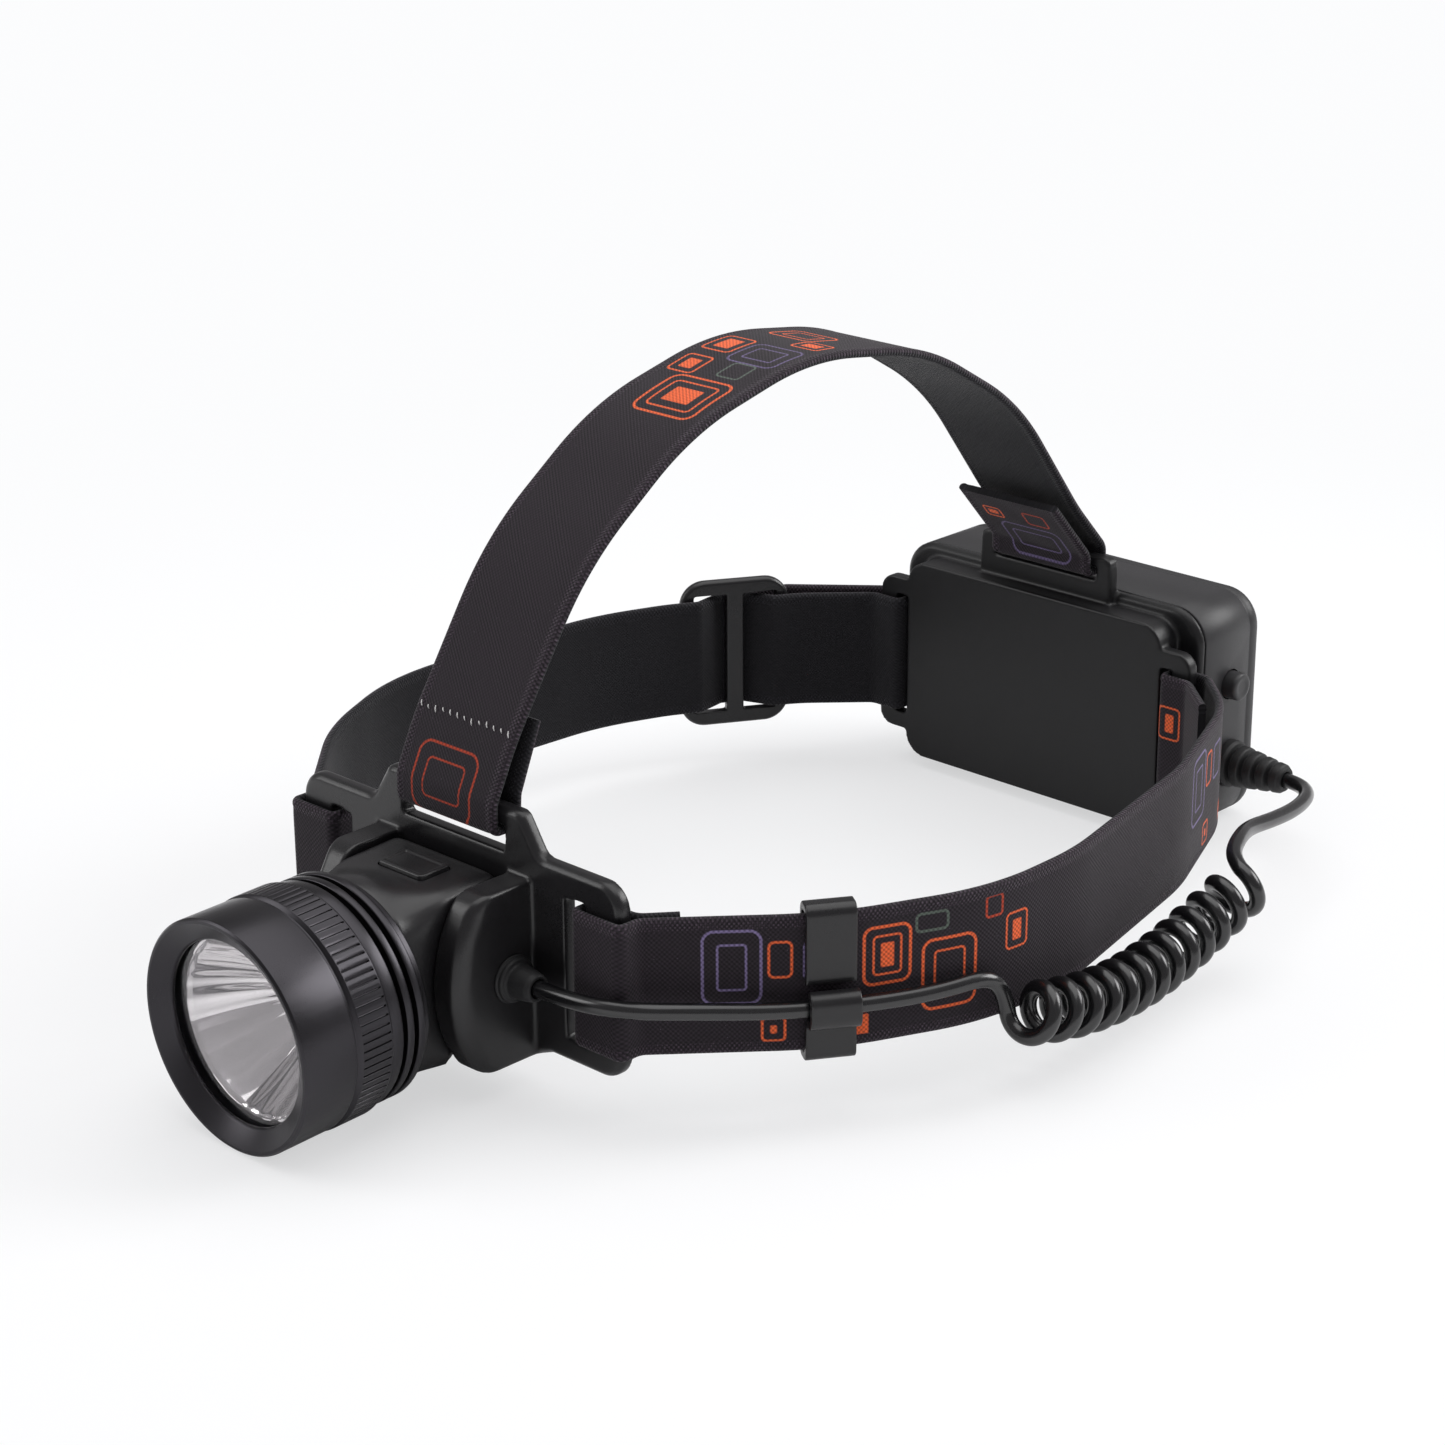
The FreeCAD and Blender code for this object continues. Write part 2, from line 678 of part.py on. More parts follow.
def make_lens():
    edge = bezel_bore - seat_clear
    body = turned("lens", "Y", [(0.0, lens_back), (edge, lens_back), (edge, lens_front), (0.0, lens_front)])
    return put_on_lamp(body)


def make_lens_seal():
    """Rubber ring of square section between the lens and the spigot."""
    middle = (spigot_radius + barrel_bore) / 2
    inside, outside = middle - seal_side / 2, middle + seal_side / 2
    body = turned("lens_seal", "Y", [
        (inside, spigot_front), (outside, spigot_front), (outside, lens_back), (inside, lens_back)])
    return put_on_lamp(body)


def many_sided(name, profile, sides):
    """Solid with flat sides round the lamp's axis, from a closed profile of (radius, forward)."""
    rings = []
    for corner in range(sides + 1):
        turn = 2 * math.pi * (corner % sides) / sides
        rings.append([Vector(radius * math.cos(turn), -along, radius * math.sin(turn))
                      for radius, along in profile])
    faces = []
    for ring, after in zip(rings, rings[1:]):
        for place in range(len(profile)):
            corners = [ring[place - 1], ring[place], after[place], after[place - 1], ring[place - 1]]
            faces.append(Part.Face(Part.makePolygon(corners)))
    return solid(name, Part.Solid(Part.Shell(faces)))


def make_reflector():
    """Many-sided cup that follows a parabola, just clear of the light chip's board."""
    foot = float(ring_back + led_board_thick + reflector_lift)
    head = float(lens_back - seat_clear)
    hole, mouth = float(reflector_hole), float(window_radius + window_lip)
    steps = int(float(reflector_steps))
    inside = []
    for step in range(steps + 1):
        radius = hole + (mouth - hole) * step / steps
        share = (radius * radius - hole * hole) / (mouth * mouth - hole * hole)
        inside.append((radius, foot + (head - foot) * share))
    outside = [(radius + float(reflector_wall), along) for radius, along in inside[:-1]]
    flange = float(barrel_bore - slide_clear)
    rim = [(flange, head), (flange, outside[-1][1])]
    return put_on_lamp(many_sided("reflector", inside + rim + outside[::-1], int(float(reflector_sides))))


def make_led_board():
    """Six-sided board that carries the light chip."""
    reach, half, rise = led_board_radius, led_board_radius / 2, led_board_radius * SIXTH_RISE
    corners = [(reach, 0.0), (half, rise), (-half, rise), (-reach, 0.0), (-half, -rise), (half, -rise)]
    body = new_body("led_board")
    pad(body, corner_sketch(body, "XZ_Plane", corners, ring_back), led_board_thick)
    return put_on_lamp(body)


def make_led_chip():
    """Square light chip under a low dome cut as a cone."""
    foot = ring_back + led_board_thick
    half = led_side / 2
    body = new_body("led_chip")
    pad(body, corner_sketch(body, "XZ_Plane", box_corners(-half, half, -half, half), foot), led_thick)
    dome = circle_sketch(body, "XZ_Plane", 0.0, 0.0, led_dome_radius, foot + led_thick)
    pad(body, dome, led_dome_rise)
    dress(body, "Chamfer", led_dome_rise / 2, lambda edge: isinstance(edge.Curve, Part.Circle)
          and lies_in(edge, BACK, -(foot + led_thick + led_dome_rise)))
    return put_on_lamp(body)


# Battery box, built from its back face with its front towards -Y

def put_on_box(item):
    put(item, along=box_y)
    return item


def make_battery_case():
    body = new_body("battery_case")
    depth = cover_back - seam_gap
    outline = rounded_sketch(body, "XZ_Plane", -box_half, box_half, 0.0, box_height, box_corner)
    pad(body, outline, depth)
    dress(body, "Chamfer", box_back_round, lambda edge: lies_in(edge, BACK, 0.0))
    inside = rounded_sketch(
        body, "XZ_Plane", box_wall - box_half, box_half - box_wall, box_wall, box_height - box_wall,
        box_corner - box_wall, depth)
    pocket(body, inside, depth - box_wall)
    for forward, rise, radius in ((button_forward, button_rise, button_radius + slide_clear),
                                  (relief_forward, relief_rise, cord_radius + seat_clear + box_wall / 2)):
        hole = circle_sketch(body, "YZ_Plane", -forward, rise, radius, box_half)
        pocket(body, hole, 1.5 * box_wall)
    return put_on_box(body)


def make_box_seal():
    """Thin gasket that shows as the seam between case and cover."""
    inset, width = box_wall / 5, box_wall / 2
    body = new_body("box_seal")
    start = cover_back - seam_gap
    outline = rounded_sketch(
        body, "XZ_Plane", inset - box_half, box_half - inset, inset, box_height - inset,
        box_corner - inset, start)
    pad(body, outline, seam_gap)
    edge = inset + width
    opening = rounded_sketch(
        body, "XZ_Plane", edge - box_half, box_half - edge, edge, box_height - edge,
        box_corner - edge, cover_back)
    pocket(body, opening, seam_gap)
    return put_on_box(body)


def make_battery_cover():
    """Cover with a raised pad, two slotted wings and a slotted top tab."""
    body = new_body("battery_cover")
    plate = rounded_sketch(
        body, "XZ_Plane", -box_half, box_half, 0.0, box_height, box_corner, cover_back)
    pad(body, plate, border_thick)
    dress(body, "Chamfer", border_thick / 2, lambda edge: lies_in(edge, BACK, -box_depth))
    raised = rounded_sketch(
        body, "XZ_Plane", -pad_half, pad_half, pad_foot, pad_head, pad_corner, cover_back)
    pad(body, raised, pad_front - cover_back)
    wings = rounded_sketch(
        body, "XZ_Plane", -rear_wing_half, rear_wing_half, rear_wing_foot, rear_wing_head,
        rear_wing_corner, wing_back)
    pad(body, wings, rear_wing_thick)
    tab = rounded_sketch(
        body, "XZ_Plane", -rear_tab_half, rear_tab_half, pad_head - pad_corner, rear_tab_top,
        rear_wing_corner / 2, tab_plane - rear_tab_thick)
    pad(body, tab, rear_tab_thick)
    slots = new_sketch(body, "XZ_Plane", pad_front)
    low, high = band_rise - slot_half, band_rise + slot_half
    add_loop(slots, box_corners(rear_slot_inner, rear_slot_outer, low, high))
    add_loop(slots, box_corners(-rear_slot_outer, -rear_slot_inner, low, high))
    pocket(body, slots, rear_wing_thick)
    top_slot = corner_sketch(
        body, "XZ_Plane", box_corners(-slot_half, slot_half, rear_slot_foot, rear_slot_head), tab_plane)
    pocket(body, top_slot, rear_tab_thick)
    hollow = rounded_sketch(
        body, "XZ_Plane", box_wall - pad_half, pad_half - box_wall, pad_foot + box_wall,
        pad_head - box_wall, pad_corner - box_wall, cover_back)
    pocket(body, hollow, pad_front - cover_back - box_wall, backwards=True)
    return put_on_box(body)


def make_cell(name, place):
    """One flat cell of the pair, against the back wall or the cell behind it."""
    back = box_wall + slide_clear + place * (cell_thick + slide_clear)
    shift = box_half - box_wall - cell_width / 2 - slide_clear
    cell = doc.addObject("Part::Box", name + "_block")
    bind(cell, "Length", cell_width)
    bind(cell, "Width", cell_thick)
    bind(cell, "Height", cell_height)
    put(cell, -shift - cell_width / 2, box_y - back - cell_thick, (box_height - cell_height) / 2)
    doc.recompute()
    rounded = doc.addObject("Part::Fillet", name)
    rounded.Label = name
    rounded.Base = cell
    rounded.Edges = [(place + 1, float(cell_round), float(cell_round))
                     for place, edge in enumerate(cell.Shape.Edges) if runs_along(edge, RIGHT)]
    return rounded


def make_charge_board():
    board = doc.addObject("Part::Box", "charge_board")
    board.Label = "charge_board"
    bind(board, "Length", board_thick)
    bind(board, "Width", cover_back - 2 * box_wall - slide_clear)
    bind(board, "Height", cell_height)
    put(board, switch_foot - board_thick, box_y - cover_back + box_wall,
        (box_height - cell_height) / 2)
    return board


switch_head = box_half - box_wall - button_flange / 3 - button_travel - slide_clear / 2
switch_foot = switch_head - switch_length


def make_button_switch():
    body = doc.addObject("Part::Box", "button_switch")
    body.Label = "button_switch"
    bind(body, "Length", switch_length)
    bind(body, "Width", switch_side)
    bind(body, "Height", switch_side)
    put(body, switch_foot, box_y - button_forward - switch_side / 2, button_rise - switch_side / 2)
    return body


def make_power_button():
    """Round button held by a flange behind the case wall."""
    flange_back = -(box_wall + button_flange / 3)
    body = turned("power_button", "X", [
        (flange_back, 0.0), (button_proud, 0.0), (button_proud, button_radius),
        (-box_wall, button_radius), (-box_wall, button_flange), (flange_back, button_flange)])
    dress(body, "Chamfer", button_radius / 4, lambda edge: lies_in(edge, RIGHT, button_proud)
          and isinstance(edge.Curve, Part.Circle))
    put(body, box_half, box_y - button_forward, button_rise)
    return body


def make_strain_relief():
    """Stepped sleeve that narrows from the case wall to the cord."""
    pitch = (relief_length - box_wall) / relief_ribs
    slope = (relief_root_radius - relief_tip_radius) / (relief_length - box_wall)
    neck = cord_radius + box_wall / 2
    plug = -box_wall - cord_seat / 2
    seat_face = relief_length - cord_seat
    profile = [(plug, 0.0), (seat_face, 0.0), (seat_face, cord_hole), (relief_length, cord_hole)]
    for rib in reversed(range(int(float(relief_ribs)))):
        near = box_wall + rib * pitch
        crest = relief_root_radius - slope * (rib * pitch)
        profile += [(near + pitch, crest), (near, crest)]
    profile = profile[:-1] + [(0.0, relief_root_radius), (0.0, neck), (plug, neck)]
    body = turned("strain_relief", "X", profile)
    put(body, box_half, box_y - relief_forward, relief_rise)
    return body


# Routes of straps and cords

def round_route(points, radii=None, share=0.49):
    """Straight runs joined by tangent arcs, as a list of (start, end, centre or None)."""
    radii = radii or {}
    runs = []
    here = points[0]
    for place in range(1, len(points) - 1):
        corner = points[place]
        come = (corner - points[place - 1]).normalize()
        go = (points[place + 1] - corner).normalize()
        half_turn = come.getAngle(go) / 2
        shorter = min((corner - points[place - 1]).Length, (points[place + 1] - corner).Length)
        radius = radii.get(place, share * shorter / math.tan(half_turn))
        reach = radius * math.tan(half_turn)
        start, end = corner - come * reach, corner + go * reach
        inward = (go - come).normalize()
        centre = corner + inward * (radius / math.cos(half_turn))
        if (start - here).dot(come) < -1e-6:
            raise RuntimeError("corner %d has no room for its arc" % place)
        if (start - here).Length > 1e-6:
            runs.append((here, start, None))
        runs.append((start, end, centre))
        here = end
    runs.append((here, points[-1], None))
    return runs


def arc_middle(start, end, centre):
    radius = (start - centre).Length
    return centre + ((start + end) / 2 - centre).normalize() * radius


def route_edges(runs):
    edges = []
    for start, end, centre in runs:
        if centre is None:
            edges.append(Part.LineSegment(start, end).toShape())
        else:
            edges.append(Part.Arc(start, arc_middle(start, end, centre), end).toShape())
    return edges


def ribbon_face(points, thickness, normal, radii=None):
    """Flat face of a strip of even thickness that follows a route in one plane."""
    runs = round_route(points, radii)
    half = float(thickness) / 2
    sides = []
    for hand in (1, -1):
        shifted = []
        for start, end, centre in runs:
            if centre is None:
                across = normal.cross((end - start).normalize()) * (half * hand)
                shifted.append((start + across, end + across, None))
            else:
                come = (centre - start).normalize()
                leave = (centre - end).normalize()
                turn = come.cross(leave)
                way = 1 if turn.dot(normal) > 0 else -1
                shift = half * hand * way
                shifted.append((start + come * shift, end + leave * shift, centre))
        sides.append(shifted)
    left, right = sides
    edges = route_edges(left) + route_edges(right)
    edges.append(Part.makeLine(left[0][0], right[0][0]))
    edges.append(Part.makeLine(left[-1][1], right[-1][1]))
    return Part.Face(Part.Wire(Part.sortEdges(edges)[0]))


def ribbon(name, points, thickness, direction, width, radii=None):
    """Strip of webbing: a ribbon outline given its width."""
    face = ribbon_face(points, thickness, direction, radii)
    return solid(name, face.extrude(direction * float(width)))


# Straps

half_breadth = float(head_breadth) / 2 - float(strap_thick) / 2
seat = float(strap_seat)


def in_plan(across, along):
    """Point in plan at shares of half the head's breadth and of the distance to the box's back."""
    return (half_breadth * across, float(box_distance) * along)


right_corner, left_corner = in_plan(0.8325, 0.1419), in_plan(0.8455, 0.1445)
tight = {"loop": float(strap_thick) / 2 + 0.4, "bend": float(strap_thick) / 2 + 2.4}


def bracket_wing_route(corner):
    """From the flap's end behind the right wing, round its outer bar and off towards a corner."""
    behind = float(plate_thick) + seat
    outside, middle = float(bar_outside), float(slot_middle)
    leave = Vector(outside, float(plate_thick) + 0.2, 0)
    way = (Vector(*corner, 0) - leave).normalize()
    flap = leave + way * float(flap_length) - way.cross(UP) * float(flap_gap)
    return [
        (flap.x, flap.y), (outside - 1.4, behind + 0.4), (middle, behind), (middle, -seat),
        (outside, -seat), (outside, leave.y)]


def band_points(route, level):
    return [Vector(across, along, level) for across, along in route]


def right_band_route():
    """Plan of the right band: outside the head, behind the box's wing bar, back as a flap."""
    behind = float(box_distance - wing_back) + seat
    ahead = float(box_distance - pad_front) - seat
    bar_side, middle = float(rear_wing_half) + seat, float(rear_slot_middle)
    return bracket_wing_route(right_corner) + [
        right_corner, in_plan(1.0, 0.2864), in_plan(1.0, 0.4069), in_plan(0.8717, 0.6478),
        in_plan(0.7016, 0.8158), (bar_side + 0.6, behind), (middle, behind), (middle, ahead),
        (bar_side - 0.5, ahead), in_plan(0.6597, 0.8019)]


def make_headband_right():
    loop, bend = tight["loop"], tight["bend"]
    radii = {1: bend, 2: loop, 3: loop, 4: loop, 5: bend, 11: bend, 12: loop, 13: loop, 14: bend}
    band = ribbon("headband_right", band_points(right_band_route(), float(band_foot)), strap_thick,
                  UP, strap_width, radii)
    put(band, along=plate_y)
    return band


adjuster_middle = Vector(*in_plan(-0.8102, 0.7307), 0)
adjuster_way = Vector(0.53, 0.848, 0).normalize()


def on_adjuster(forward, inward):
    """Plan point at a distance along the adjuster and towards the head."""
    towards_head = Vector(adjuster_way.y, -adjuster_way.x, 0)
    spot = adjuster_middle + adjuster_way * forward + towards_head * inward
    return (-spot.x, spot.y)


def make_headband_left():
    """Left band: woven through the adjuster, round the box's wing bar and back."""
    behind = float(box_distance - wing_back) + seat
    ahead = float(box_distance - pad_front) - seat
    bar_side, middle = float(rear_wing_half) + seat, float(rear_slot_middle)
    over = float(adjuster_thick) / 2 + seat
    under = over + float(strap_thick) + float(bar_clear)
    bar = float(adjuster_bar) / 2
    window = float(adjuster_length) / 2 - float(adjuster_rim)
    route = bracket_wing_route(left_corner) + [
        left_corner, in_plan(1.0, 0.2784), in_plan(1.0, 0.4015), in_plan(0.9686, 0.5728),
        on_adjuster(-window - 6.0, over), on_adjuster(-window + 0.7, over),
        on_adjuster(-bar - 0.7, -over), on_adjuster(bar + 0.7, -over),
        on_adjuster(window - 0.7, over), on_adjuster(window + 5.0, over),
        (bar_side - 0.2, ahead), (middle, ahead), (middle, behind), (bar_side + 1.0, behind),
        on_adjuster(window + 4.0, -under), on_adjuster(-bar, -under)]
    loop, bend = tight["loop"], tight["bend"]
    radii = {1: bend, 2: loop, 3: loop, 4: loop, 5: bend}
    radii.update({place: loop for place in (11, 12, 13, 14)})
    radii.update({16: bend, 17: loop, 18: loop, 19: bend, 20: bend})
    mirrored = [(-across, along) for across, along in route]
    band = ribbon("headband_left", band_points(mirrored, float(band_foot)), strap_thick, UP,
                  strap_width, radii)
    put(band, along=plate_y)
    return band


def make_top_strap():
    """Strap over the crown of the head, from the bracket's tab to the box's tab."""
    behind = float(plate_thick) + seat
    low = float(tab_slot_foot) + float(slot_gap) / 2
    bar_top = float(tab_top)
    ahead_rear = float(box_distance - tab_plane) - seat
    behind_rear = float(box_distance - tab_plane + rear_tab_thick) + seat
    low_rear = float(rear_slot_foot) + float(rear_tab_slot) / 2
    route = [(behind + 5.4, bar_top + 13.0), (behind + 0.4, bar_top + 1.0), (behind, low),
             (-seat, low), (-seat, bar_top + 0.4)]
    first, last = math.radians(158), math.radians(27)
    count = int(float(crown_corners))
    step = (last - first) / (count - 1)
    corner_reach = float(crown_radius) / math.cos(step / 2)
    for place in range(count):
        angle = first + step * place
        route.append((float(crown_middle_y) + corner_reach * math.cos(angle),
                      float(crown_middle_z) + corner_reach * math.sin(angle)))
    tab_head = float(rear_tab_top)
    crown_end = route[-1]
    route += [(behind_rear, tab_head + float(tab_over)), (behind_rear, low_rear), (ahead_rear, low_rear),
              (ahead_rear, tab_head + 0.2), (crown_end[0] - 6.98, crown_end[1] + 1.44)]
    last_place = len(route) - 1
    loop, bend = tight["loop"], tight["bend"]
    radii = {1: bend, 2: loop, 3: loop, 4: bend}
    radii.update({last_place - 4: bend, last_place - 3: loop, last_place - 2: loop, last_place - 1: bend})
    start = -float(strap_width) / 2
    points = [Vector(start, along, rise) for along, rise in route]
    band = ribbon("top_strap", points, strap_thick, RIGHT, strap_width, radii)
    put(band, along=plate_y)
    return band


def make_strap_adjuster():
    """Three-bar slide that takes up the left band."""
    body = new_body("strap_adjuster")
    half_length, half_height = adjuster_length / 2, adjuster_height / 2
    outline = rounded_sketch(
        body, "XZ_Plane", -half_length, half_length, -half_height, half_height, adjuster_corner,
        -adjuster_thick / 2)
    pad(body, outline, adjuster_thick)
    dress(body, "Chamfer", adjuster_thick / 4, lambda edge: lies_in(edge, BACK, adjuster_thick / 2)
          or lies_in(edge, BACK, -adjuster_thick / 2))
    windows = new_sketch(body, "XZ_Plane", adjuster_thick / 2)
    inner, outer = adjuster_bar / 2, half_length - adjuster_rim
    add_loop(windows, box_corners(inner, outer, -slot_half, slot_half))
    add_loop(windows, box_corners(-outer, -inner, -slot_half, slot_half))
    pocket(body, windows, adjuster_thick)
    middle = adjuster_middle + Vector(0, float(plate_y), float(band_rise))
    turn = math.degrees(math.atan2(adjuster_way.y, adjuster_way.x))
    body.Placement = FreeCAD.Placement(middle, Rotation(UP, turn))
    bind(body, "Placement.Base.y", plate_y + adjuster_middle.y)
    bind(body, "Placement.Base.z", band_rise)
    return body


cord_in_clip = float(strap_thick) / 2 + float(cord_thick) * 0.82
cord_clip_rise = float(band_rise - cord_clip_drop)


def clip_place():
    """Middle and direction of the band's bend that carries the clip, the first after the wing."""
    route = right_band_route()
    bend = route.index(right_corner)
    points = band_points(route, 0.0)[bend - 1:bend + 2]
    start, end, centre = round_route(points)[1]
    return arc_middle(start, end, centre), (end - start).normalize()


clip_middle, clip_way = clip_place()
clip_outward = clip_way.cross(UP)


def make_cord_clip():
    """Sprung clip folded over the band, whose lower leaf hooks round the cord."""
    wall = float(clip_wall)
    gap = seat + wall / 2
    head = float(band_rise) + float(strap_width) / 2 + float(bar_clear) + wall / 2
    foot = float(band_foot) - float(bar_clear) - wall / 2
    cord_out, cord_up = cord_in_clip, cord_clip_rise
    leaf = float(cord_radius) + wall / 2 + float(bar_clear)
    outline = [
        (gap, cord_up + 4.6), (gap, head), (-gap, head), (-gap, foot), (gap, foot),
        (gap, cord_up - leaf - 0.4), (cord_out + leaf, cord_up - leaf), (cord_out + leaf, cord_up + leaf),
        (cord_out + 0.4, cord_up + leaf + 0.2)]
    start = clip_middle - clip_way * (float(clip_width) / 2)
    points = [start + clip_outward * out + UP * up for out, up in outline]
    bend = wall / 2 + 0.5
    radii = {1: bend, 2: bend, 3: bend, 4: bend, 5: bend, 6: leaf * 0.8, 7: leaf * 0.6}
    clip = ribbon("cord_clip", points, clip_wall, clip_way, clip_width, radii)
    put(clip, along=plate_y)
    return clip


# Cord: a free run, the coil and the tail to the battery box

def by_band(gap, along, rise):
    """Point outside the band's widest place, at shares of the box's distance and the band's rise."""
    return Vector(half_breadth + gap, float(box_distance) * along, float(band_rise) * rise)


coil_gap = float(strap_thick / 2 + coil_mean_radius + cord_radius + coil_clear)
coil_route = [by_band(coil_gap, 0.29979, 0.60976), by_band(coil_gap + 2.7, 0.41167, 0.46341),
              by_band(coil_gap - 6.7, 0.54764, 0.16667), by_band(coil_gap - 2.8, 0.64775, 0.53659)]


def coil_axis(share):
    """Point and direction on the sagging middle line of the coil."""
    start, first, second, end = coil_route
    rest = 1 - share
    point = (start * rest ** 3 + first * (3 * rest ** 2 * share)
             + second * (3 * rest * share ** 2) + end * share ** 3)
    way = ((first - start) * rest ** 2 + (second - first) * (2 * rest * share)
           + (end - second) * share ** 2)
    return point, way.normalize()


def coil_point(share):
    """Point of the wire; it starts on the strap's side, going down."""
    middle, way = coil_axis(share)
    outward = way.cross(UP).normalize()
    upward = outward.cross(way)
    angle = math.pi + 2 * math.pi * float(coil_turns) * share
    radius = float(coil_mean_radius)
    return middle + outward * (radius * math.cos(angle)) + upward * (radius * math.sin(angle))


def coil_tangent(share):
    step = 1e-5
    low, high = max(share - step, 0.0), min(share + step, 1.0)
    return (coil_point(high) - coil_point(low)).normalize()


def biarc(start, start_way, end, end_way):
    """Two arcs that leave one point and reach the next along given directions."""
    chord = end - start
    ways = start_way + end_way
    square = 2 * (start_way.dot(end_way) - 1)
    slope = -2 * chord.dot(ways)
    level = chord.dot(chord)
    reach = (-slope - math.sqrt(slope * slope - 4 * square * level)) / (2 * square)
    middle = (start + start_way * reach + end - end_way * reach) * 0.5
    return [arc_from(start, start_way, middle), arc_from(end, -end_way, middle)]


def arc_from(start, way, end):
    """Arc that leaves start along a direction and reaches end."""
    chord = end - start
    across = (chord - way * chord.dot(way)).normalize()
    radius = chord.dot(chord) / (2 * chord.dot(across))
    centre = start + across * radius
    through = centre + ((start + end) * 0.5 - centre).normalize() * radius
    if chord.dot(way) < 0:
        through = centre * 2 - through
    return Part.Arc(start, through, end).toShape()


def cord_section(start, way):
    """Many-sided section of the cord, square to its way."""
    across = way.cross(UP).normalize()
    rise = across.cross(way)
    sides = int(float(cord_sides))
    corners = []
    for corner in range(sides + 1):
        turn = 2 * math.pi * (corner % sides) / sides
        corners.append(start + across * (float(cord_radius) * math.cos(turn))
                       + rise * (float(cord_radius) * math.sin(turn)))
    return Part.makePolygon(corners)


def sweep_tube(name, edges, start, way):
    section = cord_section(start, way)
    path = Part.Wire(Part.sortEdges(edges)[0])
    tube = path.makePipeShell([section], True, False)
    length = path.Length
    print("%s: length %.1f, volume over section times length %.4f" % (
        name, length, tube.Volume / (Part.Face(section).Area * length)))
    item = solid(name, tube)
    put(item, along=plate_y)
    return item


lead = float(cord_thick)
coil_in = coil_point(0.0) - coil_tangent(0.0) * lead
coil_out = coil_point(1.0) + coil_tangent(1.0) * lead


def coil_edges():
    """The wire's turns, as two arcs for each quarter of a turn."""
    steps = int(round(float(coil_turns) * 4))
    edges = []
    for step in range(steps):
        low, high = step / steps, (step + 1) / steps
        edges += biarc(coil_point(low), coil_tangent(low), coil_point(high), coil_tangent(high))
    return edges


def report_coil_gap():
    """Print the least gap between neighbouring turns, measured on points."""
    per_turn = 48
    count = int(float(coil_turns) * per_turn)
    spots = [coil_point(place / count) for place in range(count + 1)]
    nearest = min((spots[place] - spots[other]).Length
                  for place in range(count - per_turn // 2)
                  for other in range(place + per_turn // 2, min(place + 2 * per_turn, count)))
    print("cord_coil: least gap between turns %.2f" % (nearest - float(cord_thick)))


def report_radii(name, points):
    radii = []
    for before, corner, after in zip(points, points[1:], points[2:]):
        half_turn = (corner - before).getAngle(after - corner) / 2
        shorter = min((corner - before).Length, (after - corner).Length)
        radii.append(0.45 * shorter / math.tan(half_turn))
    print("%s: arc radii %s" % (name, ", ".join("%.0f" % radius for radius in radii)))
    lengths = ["%.0f" % (after - before).Length for before, after in zip(points, points[1:])]
    print("%s: runs %s" % (name, ", ".join(lengths)))


def make_cord():
    """One unbroken cord: the front run, the coil and the tail."""
    front, tail = front_cord_route(), rear_cord_route()
    report_radii("cord front", front)
    report_radii("cord tail", tail)
    report_coil_gap()
    edges = route_edges(round_route(front, share=0.45)) + coil_edges()
    edges += route_edges(round_route(tail, share=0.45))
    return sweep_tube("cord", edges, front[0], (front[1] - front[0]).normalize())


def front_cord_route():
    """From the bush's mouth past the clip, down to the coil's first turn."""
    start = Vector(float(bush_tip - cord_seat), -float(pivot_forward), float(pivot_rise))
    in_clip = clip_middle + clip_outward * cord_in_clip + UP * cord_clip_rise
    down = coil_tangent(0.0)
    fold = coil_in - down * 3.3
    by_wing = float(wing_half)
    return [start, start + RIGHT * 8.6, Vector(by_wing + 3.2, -3.6, start.z + 1.2),
            Vector(by_wing + 12.0, 6.6, start.z + 0.4), in_clip - clip_way * 8.5,
            in_clip + clip_way * 8.5, by_band(-1.2, 0.2334, 0.8943),
            fold + Vector(-0.7, -2.4, 2.4), fold, coil_point(0.0)]


def rear_cord_route():
    """From the coil's last turn back to the strain relief on the box."""
    end = Vector(float(box_half + relief_length - cord_seat), float(box_distance - relief_forward),
                 float(relief_rise))
    return [coil_point(1.0), coil_out + coil_tangent(1.0) * 3.0, by_band(-5.8, 0.6777, 0.7886),
            by_band(-6.8, 0.7334, 0.7561), by_band(-7.8, 0.7976, 0.6992),
            end + Vector(17.2, -16.6, 2.6), end + Vector(15.6, -8.2, 1.4),
            end + Vector(11.0, -1.8, 0.5), end + Vector(5.4, 0, 0), end]


# Build every sub-part, check it and write its file

parts = [
    make_front_bracket(), make_pivot_pin(), make_cord_bush(), make_lamp_housing(), make_switch_key(),
    make_dome_switch(), make_driver_board(), make_lamp_barrel(), make_bezel_ring(), make_lens(),
    make_lens_seal(), make_reflector(), make_led_board(), make_led_chip(), make_battery_case(),
    make_box_seal(), make_battery_cover(), make_cell("battery_cell_rear", 0),
    make_cell("battery_cell_front", 1), make_charge_board(), make_button_switch(),
    make_power_button(), make_strain_relief(), make_headband_right(), make_headband_left(),
    make_top_strap(), make_strap_adjuster(), make_cord_clip(), make_cord()]

doc.recompute()
for item in doc.Objects:
    if "Invalid" in item.State or "Error" in item.State:
        raise RuntimeError("%s failed to rebuild" % item.Label)
os.makedirs("parts", exist_ok=True)
for item in parts:
    shape = item.Shape
    if shape.isNull() or not shape.isValid() or not shape.Solids:
        raise RuntimeError("%s has no valid solid" % item.Label)
    shape.exportStep(os.path.join("parts", item.Label + ".step"))
    print("%-20s solids %d volume %9.1f" % (item.Label, len(shape.Solids), shape.Volume))
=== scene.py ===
import math

import bmesh
import bpy
from mathutils import Matrix, Vector


